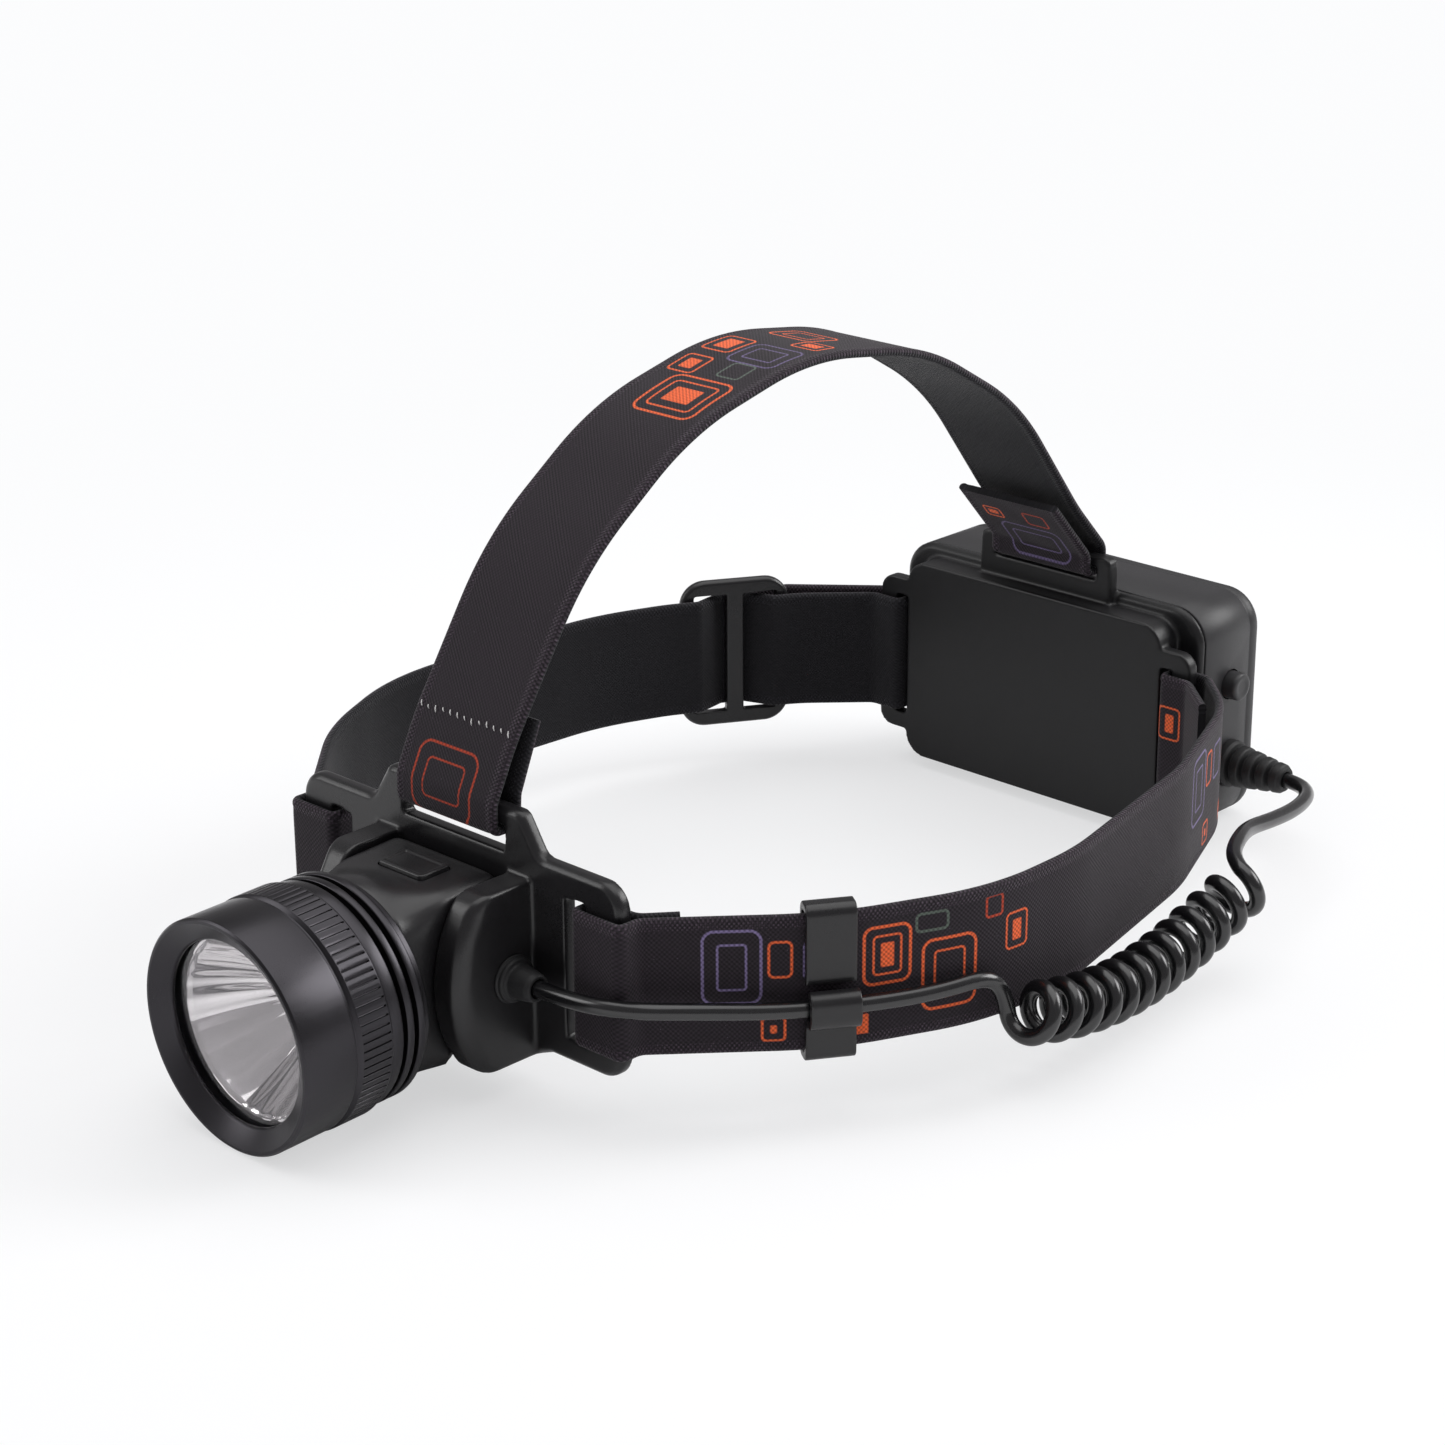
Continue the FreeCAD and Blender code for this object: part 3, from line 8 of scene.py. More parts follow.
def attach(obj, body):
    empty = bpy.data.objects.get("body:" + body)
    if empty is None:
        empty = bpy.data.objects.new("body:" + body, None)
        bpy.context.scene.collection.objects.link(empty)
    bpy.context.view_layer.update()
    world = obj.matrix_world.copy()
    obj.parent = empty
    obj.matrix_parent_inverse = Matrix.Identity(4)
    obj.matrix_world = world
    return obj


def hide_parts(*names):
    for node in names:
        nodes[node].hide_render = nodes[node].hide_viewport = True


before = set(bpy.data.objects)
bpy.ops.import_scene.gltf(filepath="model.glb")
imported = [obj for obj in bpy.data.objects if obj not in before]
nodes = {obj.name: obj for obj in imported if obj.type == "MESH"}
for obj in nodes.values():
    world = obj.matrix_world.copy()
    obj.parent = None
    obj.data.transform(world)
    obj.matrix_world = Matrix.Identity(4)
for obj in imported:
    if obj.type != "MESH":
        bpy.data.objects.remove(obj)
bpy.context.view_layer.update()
scene = bpy.context.scene

# Sizes of the part's source in millimetres; lengths along Y start at the bracket's plate

MM = 0.001
TAU = 2.0 * math.pi
PLATE_Y = -67.39358
PIVOT_Y, PIVOT_Z, TILT = -5.0, 22.0, 1.5
CORD_BORE, PIN_BORE = 3.36, 2.56
CORD_RADIUS = 1.5
STRAP_THICK, BAND_Z = 1.5, 24.6
BOX_BACK, BOX_HALF, BOX_MIDDLE, BOX_CORNER = 186.8, 38.4, 24.2, 7.5
BUTTON_Y, BUTTON_Z = BOX_BACK - 10.2, 31.0
EXIT_Y, EXIT_Z = BOX_BACK - 9.6, 13.8
PIVOT = Vector((0.0, PLATE_Y + PIVOT_Y, PIVOT_Z)) * MM
LAMP = Matrix.Translation(PIVOT) @ Matrix.Rotation(math.radians(TILT), 4, "X")


def at(across, along, rise):
    """Point of the row frame from millimetres measured at the bracket's plate."""
    return Vector((across, along + PLATE_Y, rise)) * MM


def on_lamp(across, along, rise):
    """Point of the row frame from millimetres measured at the tilted lamp's pivot."""
    return LAMP @ (Vector((across, along, rise)) * MM)


PLATE = Matrix.Translation(at(0, 0, 0))


# Camera solved from the photograph: azimuth, height and roll in degrees, then its place

CAMERA_TURN = (43.55, 20.74, -0.30)
CAMERA_PLACE = Vector((395.05, -415.30, 260.27)) * MM
CAMERA_LENS, SENSOR_WIDTH = 82.02, 36.0


def make_camera():
    azimuth, height, roll = (math.radians(value) for value in CAMERA_TURN)
    back = Vector((math.sin(azimuth) * math.cos(height), -math.cos(azimuth) * math.cos(height),
                   math.sin(height)))
    right = Vector((math.cos(azimuth), math.sin(azimuth), 0.0))
    up = back.cross(right)
    level = right * math.cos(roll) + up * math.sin(roll)
    upright = up * math.cos(roll) - right * math.sin(roll)
    place = Matrix((level, upright, back)).transposed().to_4x4()
    place.translation = CAMERA_PLACE
    data = bpy.data.cameras.new("camera")
    data.lens = CAMERA_LENS
    data.sensor_width = SENSOR_WIDTH
    data.clip_start = 0.01
    camera = bpy.data.objects.new("camera", data)
    camera.matrix_world = place
    scene.collection.objects.link(camera)
    scene.camera = camera


make_camera()


# Node graphs for materials

class Tree:
    """Short calls for the nodes of one node tree."""

    def __init__(self, tree):
        self.tree = tree
        tree.nodes.clear()

    def feed(self, socket, value):
        if isinstance(value, bpy.types.NodeSocket):
            self.tree.links.new(value, socket)
        elif isinstance(value, tuple) and len(value) < len(socket.default_value):
            socket.default_value = (*value, 1.0)
        else:
            socket.default_value = value

    def node(self, kind, inputs=(), **settings):
        """New node with its settings, and its inputs by name or place."""
        made = self.tree.nodes.new("ShaderNode" + kind)
        for key, value in settings.items():
            setattr(made, key, value)
        for key, value in dict(inputs).items():
            self.feed(made.inputs[key], value)
        return made

    def math(self, operation, *values):
        return self.node("Math", enumerate(values), operation=operation).outputs[0]

    def times(self, first, second):
        return self.math("MULTIPLY", first, second)

    def wave(self, value, pitch):
        return self.math("SINE", self.times(value, TAU / pitch))

    def parts(self, vector):
        return self.node("SeparateXYZ", {0: vector}).outputs

    def pair(self, first, second):
        return self.node("CombineXYZ", {0: first, 1: second}).outputs[0]

    def spots(self):
        return self.node("TexCoord").outputs["Object"]

    def noise(self, scale, detail=2.0, rough=0.5, vector=None):
        return self.node("TexNoise", {"Scale": scale, "Detail": detail, "Roughness": rough,
                                      "Vector": vector or self.spots()}).outputs["Fac"]

    def span(self, value, low, high, new_low=0.0, new_high=1.0, way="LINEAR"):
        return self.node("MapRange", {
            "Value": value, "From Min": low, "From Max": high, "To Min": new_low,
            "To Max": new_high}, interpolation_type=way).outputs["Result"]

    def mix(self, factor, first, second):
        return self.node("Mix", {0: factor, 6: first, 7: second}, data_type="RGBA").outputs[2]

    def bump(self, height, depth, strength, normal=None):
        made = self.node("Bump", {"Height": height, "Distance": depth, "Strength": strength})
        if normal is not None:
            self.feed(made.inputs["Normal"], normal)
        return made.outputs["Normal"]


class Paint(Tree):
    """A material with a Principled shader."""

    def __init__(self, name):
        self.material = bpy.data.materials.new(name)
        self.material.use_nodes = True
        super().__init__(self.material.node_tree)
        self.shader = self.node("BsdfPrincipled")
        self.out = self.node("OutputMaterial")
        self.show(self.shader)

    def show(self, shader):
        self.feed(self.out.inputs["Surface"], shader.outputs[0])

    def set(self, **values):
        for key, value in values.items():
            self.feed(self.shader.inputs[key.replace("_", " ")], value)


def moulded(name, dark, light, rough, grain=5200.0, depth=0.000016, shine=0.4):
    """Moulded plastic or rubber: spark-eroded grain, faint cloudiness and uneven gloss."""
    paint = Paint(name)
    cloud = paint.noise(38.0, 3.0, 0.6)
    fine = paint.noise(grain, 2.0, 0.55)
    coarse = paint.noise(grain * 0.22)
    gloss = paint.math("MULTIPLY_ADD", fine, 0.5, paint.times(cloud, 0.5))
    paint.set(Base_Color=paint.mix(paint.span(cloud, 0.3, 0.7), dark, light),
              Roughness=paint.span(gloss, 0.35, 0.65, *rough), Specular_IOR_Level=shine,
              Normal=paint.bump(fine, depth, 0.6, paint.bump(coarse, depth * 1.6, 0.35)))
    return paint.material


def anodised(name):
    """Black anodised aluminium with faint lathe lines round the lamp's axis."""
    paint = Paint(name)
    cloud = paint.noise(55.0, 3.0, 0.6)
    blast = paint.noise(7000.0)
    lines = paint.math("SINE", paint.times(paint.parts(paint.spots())["Y"], 21000.0))
    turned_lines = paint.bump(lines, 0.0000018, 0.25)
    paint.set(Base_Color=paint.mix(cloud, (0.040, 0.038, 0.042), (0.053, 0.051, 0.056)),
              Metallic=1.0,
              Roughness=paint.span(paint.math("ADD", blast, cloud), 0.7, 1.3, 0.27, 0.38),
              Normal=paint.bump(blast, 0.000012, 0.45, turned_lines))
    return paint.material


def jacket(name):
    """Cable jacket: satin black with uneven gloss."""
    paint = Paint(name)
    cloud = paint.noise(90.0, 3.0, 0.6)
    fine = paint.noise(2600.0, 3.0, 0.6)
    paint.set(Base_Color=paint.mix(cloud, (0.0050, 0.0050, 0.0057), (0.0085, 0.0085, 0.0095)),
              Roughness=paint.span(cloud, 0.3, 0.7, 0.20, 0.27), Specular_IOR_Level=0.72,
              Normal=paint.bump(fine, 0.000003, 0.3))
    return paint.material


def mirror(name):
    """Metallised reflector: uneven flutes from the chip outwards and a little orange peel, with painted
    reflection streaks that make its colour lighter and darker along the flutes.
    """
    paint = Paint(name)
    spots = paint.parts(paint.spots())
    turn = paint.math("ARCTAN2", paint.math("SUBTRACT", spots["Z"], PIVOT.z), spots["X"])
    ray = paint.pair(*(paint.times(paint.math(part, turn), 1.5) for part in ("COSINE", "SINE")))
    flutes = paint.noise(1.0, 2.0, 0.6, ray)
    peel = paint.noise(620.0)
    # Painted reflection: the flutes make wedges of the mirror's colour lighter and darker, standing in
    # for reflected streaks.
    tone = paint.span(flutes, 0.35, 0.65)
    paint.set(Base_Color=paint.mix(tone, (0.78, 0.77, 0.775), (0.985, 0.98, 0.98)),
              Metallic=0.82, Roughness=paint.span(peel, 0.3, 0.7, 0.05, 0.09),
              Normal=paint.bump(peel, 0.00002, 0.2, paint.bump(flutes, 0.003, 0.9)))
    return paint.material


def clear_pane(name):
    """Coated flat glass: see-through, with a reflection that grows towards the edge."""
    paint = Paint(name)
    smear = paint.span(paint.noise(140.0, 3.0, 0.6), 0.4, 0.7, 0.01, 0.05)
    gloss = paint.node("BsdfGlossy", {"Color": (0.97, 0.96, 1.0), "Roughness": smear})
    clear = paint.node("BsdfTransparent", {"Color": (0.975, 0.97, 0.972)})
    slant = paint.node("LayerWeight", {"Blend": 0.5}).outputs["Facing"]
    edge = paint.math("MULTIPLY_ADD", paint.math("POWER", slant, 5.0), 0.9, 0.02)
    paint.tree.nodes.remove(paint.shader)
    paint.show(paint.node("MixShader", {0: edge, 1: clear.outputs[0], 2: gloss.outputs[0]}))
    return paint.material


def phosphor(name):
    """Yellow phosphor under a clear dome."""
    paint = Paint(name)
    grain = paint.noise(3200.0, 3.0, 0.6)
    paint.set(Base_Color=paint.mix(grain, (0.78, 0.62, 0.10), (0.95, 0.86, 0.34)),
              Roughness=paint.span(grain, 0.3, 0.7, 0.35, 0.6), Coat_Weight=0.8,
              Normal=paint.bump(grain, 0.00001, 0.4))
    return paint.material


def board(name, low, high):
    """Circuit board with fine tracks under its mask."""
    paint = Paint(name)
    cells = paint.node("TexVoronoi", {"Vector": paint.spots(), "Scale": 420.0}, distance="MANHATTAN")
    track = paint.span(cells.outputs["Distance"], 0.28, 0.32)
    paint.set(Base_Color=paint.mix(track, low, high),
              Roughness=paint.span(paint.noise(800.0), 0.3, 0.7, 0.3, 0.45),
              Normal=paint.bump(track, 0.00003, 0.4))
    return paint.material


def pressed_metal(name):
    """Bare pressed steel with a rolled grain."""
    paint = Paint(name)
    grain = paint.noise(900.0, 4.0, 0.7)
    paint.set(Base_Color=paint.mix(grain, (0.55, 0.55, 0.56), (0.72, 0.72, 0.73)), Metallic=1.0,
              Roughness=paint.span(grain, 0.3, 0.7, 0.25, 0.4),
              Normal=paint.bump(grain, 0.00001, 0.3))
    return paint.material


def thread(name):
    """Twisted sewing thread."""
    paint = Paint(name)
    twist = paint.node("TexWave", {"Vector": paint.spots(), "Scale": 1500.0, "Distortion": 1.5},
                       bands_direction="DIAGONAL").outputs["Fac"]
    paint.set(Base_Color=paint.mix(twist, (0.55, 0.54, 0.54), (0.86, 0.85, 0.84)),
              Roughness=paint.span(twist, 0.0, 1.0, 0.55, 0.75),
              Normal=paint.bump(twist, 0.00005, 0.6))
    return paint.material


# Webbing: the strap's map holds millimetres along and across it

SQUARE_INPUTS = ("Along", "Across", "Middle", "Rise", "Half length", "Half width", "Corner", "Repeat")
EDGE_START, EDGE_FULL = 10.3, 10.55
RIB_PITCH, BEAD_PITCH, TWILL_PITCH = 0.78, 1.02, 0.8


def square_group():
    """Distance in millimetres to a rounded square that repeats along the strap."""
    group = bpy.data.node_groups.new("rounded_square", "ShaderNodeTree")
    for name in SQUARE_INPUTS:
        group.interface.new_socket(name, in_out="INPUT", socket_type="NodeSocketFloat")
    group.interface.new_socket("Distance", in_out="OUTPUT", socket_type="NodeSocketFloat")
    step = Tree(group).math
    give = group.nodes.new("NodeGroupInput").outputs
    out = group.nodes.new("NodeGroupOutput")
    half = step("MULTIPLY", give["Repeat"], 0.5)
    along = step("WRAP", step("SUBTRACT", give["Along"], give["Middle"]), half,
                 step("MULTIPLY", half, -1.0))
    far = step("SUBTRACT", step("ABSOLUTE", along), step("SUBTRACT", give["Half length"], give["Corner"]))
    high = step("SUBTRACT", step("ABSOLUTE", step("SUBTRACT", give["Across"], give["Rise"])),
                step("SUBTRACT", give["Half width"], give["Corner"]))
    far_out, high_out = step("MAXIMUM", far, 0.0), step("MAXIMUM", high, 0.0)
    reach = step("SQRT", step("ADD", step("MULTIPLY", far_out, far_out),
                              step("MULTIPLY", high_out, high_out)))
    within = step("MINIMUM", step("MAXIMUM", far, high), 0.0)
    group.links.new(step("SUBTRACT", step("ADD", reach, within), give["Corner"]), out.inputs[0])
    return group


rounded_square = square_group()


def group_motifs(motifs):
    """Shape and line width of every motif's rings, gathered by colour; no width is a fill."""
    gathered = {}
    for colour, (along, across, length, width, corner), rings in motifs:
        for level, line in rings:
            shape = (along, across, length + level, width + level, max(corner + level * 0.55, 0.3))
            gathered.setdefault(colour, []).append((shape, line))
    return gathered.items()


def webbing(name, dark, light, motifs=(), repeat=0.0, pitch=0.86, diagonal=0.12, painted_sparkle=0.0):
    """Elastic webbing with beaded edges; motifs are printed shapes with their colours."""
    paint = Paint(name)
    along, across, _ = paint.parts(paint.node("UVMap", uv_map="strap").outputs[0])

    def scaled(far, wide):
        return paint.pair(paint.times(along, far), paint.times(across, wide))

    weave = paint.span(paint.times(paint.wave(along, pitch), paint.wave(across, pitch)), -1.0, 1.0)
    twill = paint.span(paint.wave(paint.math("ADD", along, across), TWILL_PITCH), -1.0, 1.0)
    uneven = paint.noise(1.0, 3.0, 0.6, scaled(0.7, 2.6))
    loose = paint.noise(1.0, 2.0, 0.6, scaled(1.7, 1.9))
    edge = paint.span(paint.math("ABSOLUTE", across), EDGE_START, EDGE_FULL)
    field = paint.math("SUBTRACT", 1.0, edge)
    bead = paint.times(paint.wave(along, RIB_PITCH), paint.wave(across, BEAD_PITCH))
    body = paint.math("MULTIPLY_ADD", twill, diagonal, paint.times(weave, 0.9 - diagonal))
    tone = paint.math("MULTIPLY_ADD", uneven, 0.5, paint.times(body, 0.55))
    base = paint.mix(paint.span(tone, 0.28, 0.76), dark, light)
    base = paint.mix(paint.times(paint.noise(30.0), 0.35), base, tuple(value * 0.6 for value in dark))
    # Painted highlight: light specks scattered over the weave stand in for the fibres' sparkle.
    if painted_sparkle:
        sparkle_spots = paint.span(paint.noise(1.0, 1.0, 0.4, scaled(2.3, 2.3)), 0.74, 0.80)
        base = paint.mix(paint.times(sparkle_spots, painted_sparkle), base, (0.16, 0.13, 0.17))
    worn = paint.span(weave, 0.1, 0.8, 0.45, 1.0)
    for colour, rings in group_motifs(motifs):
        mask = None
        for shape, width in rings:
            values = zip(SQUARE_INPUTS, (along, across, *shape, repeat))
            far = paint.node("Group", values, node_tree=rounded_square).outputs[0]
            if width is None:
                rim = (-0.12, 0.12)
            else:
                far, rim = paint.math("ABSOLUTE", far), (width / 2 - 0.13, width / 2 + 0.07)
            ink = paint.span(far, *rim, 1.0, 0.0)
            mask = paint.math("MAXIMUM", mask, ink) if mask else ink
        base = paint.mix(paint.times(paint.times(mask, worn), field), base, colour)
    glint = paint.times(paint.times(paint.span(bead, 0.0, 0.8), edge),
                        paint.span(loose, 0.4, 0.62, 0.15, 1.0))
    height = paint.math("ADD", paint.times(body, field), paint.times(paint.times(bead, 0.9), edge))
    paint.set(Base_Color=paint.mix(paint.times(glint, 0.75), base,
                                   tuple(value * 2.9 for value in light)),
              Roughness=paint.span(uneven, 0.3, 0.7, 0.72, 0.9), Specular_IOR_Level=0.3,
              Sheen_Weight=0.12, Sheen_Roughness=0.4,
              Normal=paint.bump(height, 0.00012, 0.7, paint.bump(uneven, 0.00006, 0.35)))
    return paint.material


# Print: colour, place, half sizes and corner radius, then each ring's offset and line width

ORANGE, RUST, GREY = (0.93, 0.150, 0.042), (0.50, 0.055, 0.02), (0.105, 0.135, 0.112)
PURPLE, LILAC = (0.150, 0.115, 0.235), (0.235, 0.185, 0.365)
BAND_PERIOD, CROWN_PERIOD = 126.0, 500.0
BAND_MOTIFS = [
    (LILAC, (50.5, 3.4, 4.9, 6.6, 1.9), [(0.0, 0.55), (-2.5, 0.45)]),
    (ORANGE, (57.5, -8.2, 1.9, 2.1, 0.7), [(0.0, 0.5), (-1.35, None)]),
    (ORANGE, (58.6, 4.6, 1.9, 3.2, 0.9), [(0.0, 0.5)]),
    (ORANGE, (71.8, -9.0, 2.0, 2.3, 0.4), [(-0.1, None)]),
    (ORANGE, (77.0, 3.6, 4.2, 5.2, 1.6), [(0.0, 0.6), (-1.7, 0.45), (-3.0, None)]),
    (GREY, (85.2, 8.3, 2.9, 1.6, 0.8), [(0.0, 0.55)]),
    (ORANGE, (88.6, -1.6, 5.0, 6.4, 1.9), [(0.0, 0.6), (-2.2, 0.45)]),
    (RUST, (97.4, 8.6, 1.7, 1.9, 0.6), [(0.0, 0.5)]),
    (ORANGE, (102.6, 2.8, 2.4, 3.3, 0.9), [(0.0, 0.45), (-1.4, None)]),
    (LILAC, (65.2, 4.2, 2.6, 3.4, 0.9), [(0.0, 0.5)])]
CROWN_MOTIFS = [
    (RUST, (29.0, -0.8, 6.0, 7.3, 2.5), [(0.0, 0.5), (-2.7, 0.4)]),
    (ORANGE, (112.0, 1.4, 6.4, 7.2, 2.2), [(0.0, 0.6), (-2.0, 0.5), (-4.0, None)]),
    (ORANGE, (122.6, -6.6, 3.3, 3.0, 1.0), [(0.0, 0.5), (-1.5, None)]),
    (GREY, (123.4, 4.0, 2.8, 2.6, 0.9), [(0.0, 0.5)]),
    (PURPLE, (131.4, 3.6, 4.8, 5.6, 1.7), [(0.0, 0.5), (-2.2, 0.45)]),
    (ORANGE, (133.0, -6.8, 4.0, 3.4, 1.1), [(0.0, 0.5), (-1.6, None)]),
    (ORANGE, (141.6, 5.8, 2.6, 3.2, 0.9), [(0.0, 0.5), (-1.3, None)]),
    (ORANGE, (148.5, -2.6, 4.4, 5.2, 1.6), [(0.0, 0.55), (-2.0, 0.45)]),
    (PURPLE, (259.0, 0.8, 5.0, 7.4, 2.0), [(0.0, 0.5), (-2.2, 0.45)]),
    (RUST, (267.6, 4.6, 2.0, 2.7, 0.8), [(0.0, 0.45)]),
    (ORANGE, (267.2, -6.4, 1.6, 2.1, 0.6), [(0.0, 0.45), (-0.9, None)])]

PLUM = (0.0060, 0.0042, 0.0062), (0.0365, 0.0265, 0.0365)
black_plastic = moulded("moulded_black", (0.0092, 0.0088, 0.0098), (0.0132, 0.0127, 0.0140),
                        (0.25, 0.37), shine=0.47)
# Painted light and shade: the case's plastic is made lighter to stand in for light on the box's sides and
# top, and the cover's darker to stand in for shade on its front; they are lit and shaded copies of the
# box's black plastic.
painted_lit_case_plastic = moulded("case_black_painted_light", (0.017, 0.0167, 0.0182), (0.024, 0.0235, 0.0255),
                       (0.40, 0.52), grain=4200.0, depth=0.00002, shine=0.5)
painted_shade_cover_plastic = moulded("cover_black_painted_shade", (0.0062, 0.0061, 0.0068), (0.0098, 0.0096, 0.0106),
                        (0.33, 0.46), grain=4200.0, depth=0.00002, shine=0.38)
soft_rubber = moulded("soft_rubber", (0.008, 0.008, 0.0088), (0.0125, 0.0125, 0.0135),
                      (0.48, 0.62), grain=3600.0)
metal = anodised("black_anodised")
cable = jacket("cable_jacket")
silver = mirror("mirror_silver")
pane = clear_pane("coated_glass")
yellow = phosphor("led_phosphor")
white_board = board("white_board", (0.72, 0.73, 0.72), (0.86, 0.87, 0.86))
green_board = board("green_board", (0.012, 0.075, 0.03), (0.03, 0.16, 0.07))
switch_metal = pressed_metal("pressed_metal")
wrap = moulded("cell_wrap", (0.02, 0.10, 0.33), (0.035, 0.15, 0.42), (0.25, 0.4), grain=1500.0)
stitch_thread = thread("stitch_thread")
printed_band = webbing("printed_band", *PLUM, BAND_MOTIFS, BAND_PERIOD, painted_sparkle=0.5)
printed_crown = webbing("printed_crown", *PLUM, CROWN_MOTIFS, CROWN_PERIOD, diagonal=0.5, painted_sparkle=0.35)
plain_band = webbing("plain_band", (0.0072, 0.0068, 0.0088), (0.0135, 0.0128, 0.016), pitch=0.7)


# Mesh helpers

def dress(piece, material, body, node):
    """Give a piece its material and body, and hide the CAD node it replaces."""
    if material is not None:
        piece.data.materials.clear()
        piece.data.materials.append(material)
    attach(piece, body)
    if node:
        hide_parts(node)


def add_object(name, data):
    made = bpy.data.objects.new(name, data)
    scene.collection.objects.link(made)
    return made


def new_piece(mesh, material, body, node):
    """Piece named after its mesh."""
    piece = add_object(mesh.name, mesh)
    dress(piece, material, body, node)
    return piece


def smooth(mesh, sharp=None):
    mesh.polygons.foreach_set("use_smooth", [True] * len(mesh.polygons))
    if sharp is not None:
        mesh.set_sharp_from_angle(angle=math.radians(sharp))
    mesh.update()


def rework(source, target, weld, outward=True):
    """Copy a mesh to another, with close points joined and faces turned outwards."""
    made = bmesh.new()
    made.from_mesh(source)
    if weld:
        bmesh.ops.remove_doubles(made, verts=made.verts, dist=weld)
    if outward:
        bmesh.ops.recalc_face_normals(made, faces=made.faces)
    made.to_mesh(target)
    made.free()


def raw_mesh(name, points, faces, sharp=None):
    mesh = bpy.data.meshes.new(name)
    mesh.from_pydata([tuple(point) for point in points], [], faces)
    mesh.validate()
    rework(mesh, mesh, 1e-7)
    smooth(mesh, sharp)
    return mesh


def circle(segments):
    """Angles of even steps round a circle."""
    return [TAU * step / segments for step in range(segments)]


def bridge(rings, count, around=False, closed=True):
    """Faces between rings of count points each; around joins the last ring to the first."""
    faces = []
    for ring in range(rings if around else rings - 1):
        after = (ring + 1) % rings
        for step in range(count if closed else count - 1):
            follow = (step + 1) % count
            faces.append((ring * count + step, ring * count + follow,
                          after * count + follow, after * count + step))
    return faces


def capped(rings, count):
    """Faces of a closed skin: between the rings and over both ends."""
    last = (rings - 1) * count
    return bridge(rings, count) + [tuple(range(count)), tuple(range(last, last + count))]


def round_line(points, radius, steps, closed=False):
    """Plane line with rounded corners, by one radius or by one for each corner."""
    points = [Vector(point) for point in points]
    count = len(points)
    made = []
    for place, corner in enumerate(points):
        before, after = points[place - 1], points[(place + 1) % count]
        come, go = corner - before, after - corner
        room = min(come.length, go.length) * 0.49
        come.normalize()
        go.normalize()
        turn = come.angle(go, 0.0)
        if turn < 0.02 or (not closed and place in (0, count - 1)):
            made.append(corner)
            continue
        wanted = radius if isinstance(radius, float) else radius[place]
        reach = min(wanted * math.tan(turn / 2), room)
        start, end = corner - come * reach, corner + go * reach
        bend = reach / math.tan(turn / 2)
        inward = (go - come).normalized()
        centre = corner + inward * (bend / math.cos(turn / 2))
        first = start - centre
        side = 1.0 if come.x * go.y - come.y * go.x > 0 else -1.0
        for step in range(steps + 1):
            angle = side * turn * step / steps
            made.append(centre + Vector((
                first.x * math.cos(angle) - first.y * math.sin(angle),
                first.x * math.sin(angle) + first.y * math.cos(angle))))
        if (end - made[-1]).length > 1e-6:
            made.append(end)
    return made


def turned(name, rings, axis, sharp, closed=True):
    """Skin over profiles of (along, radius), each at its own angle round an axis."""
    points = []
    for angle, profile in rings:
        for along, radius in profile:
            across, rise = radius * math.cos(angle), radius * math.sin(angle)
            if axis == "lamp":
                points.append(on_lamp(across, -along, rise))
            else:
                points.append(axis + Vector((along, across, rise)) * MM)
    faces = bridge(len(rings), len(rings[0][1]), around=True, closed=closed)
    return raw_mesh(name, points, faces, sharp)


def lathe(name, profile, axis, segments, sharp=35, closed=True):
    """Turn a profile in millimetres round the lamp's axis, or round X through a place."""
    return turned(name, [(angle, profile) for angle in circle(segments)], axis, sharp, closed)


def loft(name, sections, sharp):
    """Skin over closed sections that have the same number of points."""
    points = [point for section in sections for point in section]
    return raw_mesh(name, points, capped(len(sections), len(sections[0])), sharp)


def rounded_rect(half_across, half_up, corner, steps):
    """Closed outline of a rounded rectangle about its middle, anticlockwise."""
    outline = []
    for quarter, (side, rise) in enumerate(((1, 1), (-1, 1), (-1, -1), (1, -1))):
        for step in range(steps + 1):
            angle = math.pi / 2 * (quarter + step / steps)
            outline.append((side * (half_across - corner) + corner * math.cos(angle),
                            rise * (half_up - corner) + corner * math.sin(angle)))
    return outline


def cylinder(name, start, end, radius):
    """Closed cylinder between two points, with its radius in millimetres."""
    way = (end - start).normalized()
    across = way.orthogonal().normalized()
    rise = way.cross(across)
    sections = [[spot + (across * math.cos(a) + rise * math.sin(a)) * (radius * MM)
                 for a in circle(64)] for spot in (start, end)]
    return loft(name, sections, 30)


def block_mesh(name, low, high, corner, place):
    """Upright block with round vertical corners, in millimetres of the given frame."""
    middle = ((low[0] + high[0]) / 2, (low[1] + high[1]) / 2)
    outline = rounded_rect((high[0] - low[0]) / 2, (high[1] - low[1]) / 2, corner, 6)
    sections = [[place @ (Vector((middle[0] + x, middle[1] + y, level)) * MM)
                 for x, y in outline] for level in (low[2], high[2])]
    return loft(name, sections, 30)


def settle(piece):
    """Apply a piece's modifiers to its mesh."""
    bpy.context.view_layer.update()
    seen = piece.evaluated_get(bpy.context.evaluated_depsgraph_get())
    mesh = bpy.data.meshes.new_from_object(seen)
    piece.modifiers.clear()
    piece.data = mesh


def cut(piece, cutters, operation="DIFFERENCE"):
    """Take meshes out of a piece for good, or add them to it."""
    for cutter in cutters:
        tool = add_object("cutter", cutter)
        step = piece.modifiers.new("cut", "BOOLEAN")
        step.operation = operation
        step.solver = "EXACT"
        step.object = tool
        settle(piece)
        bpy.data.objects.remove(tool)


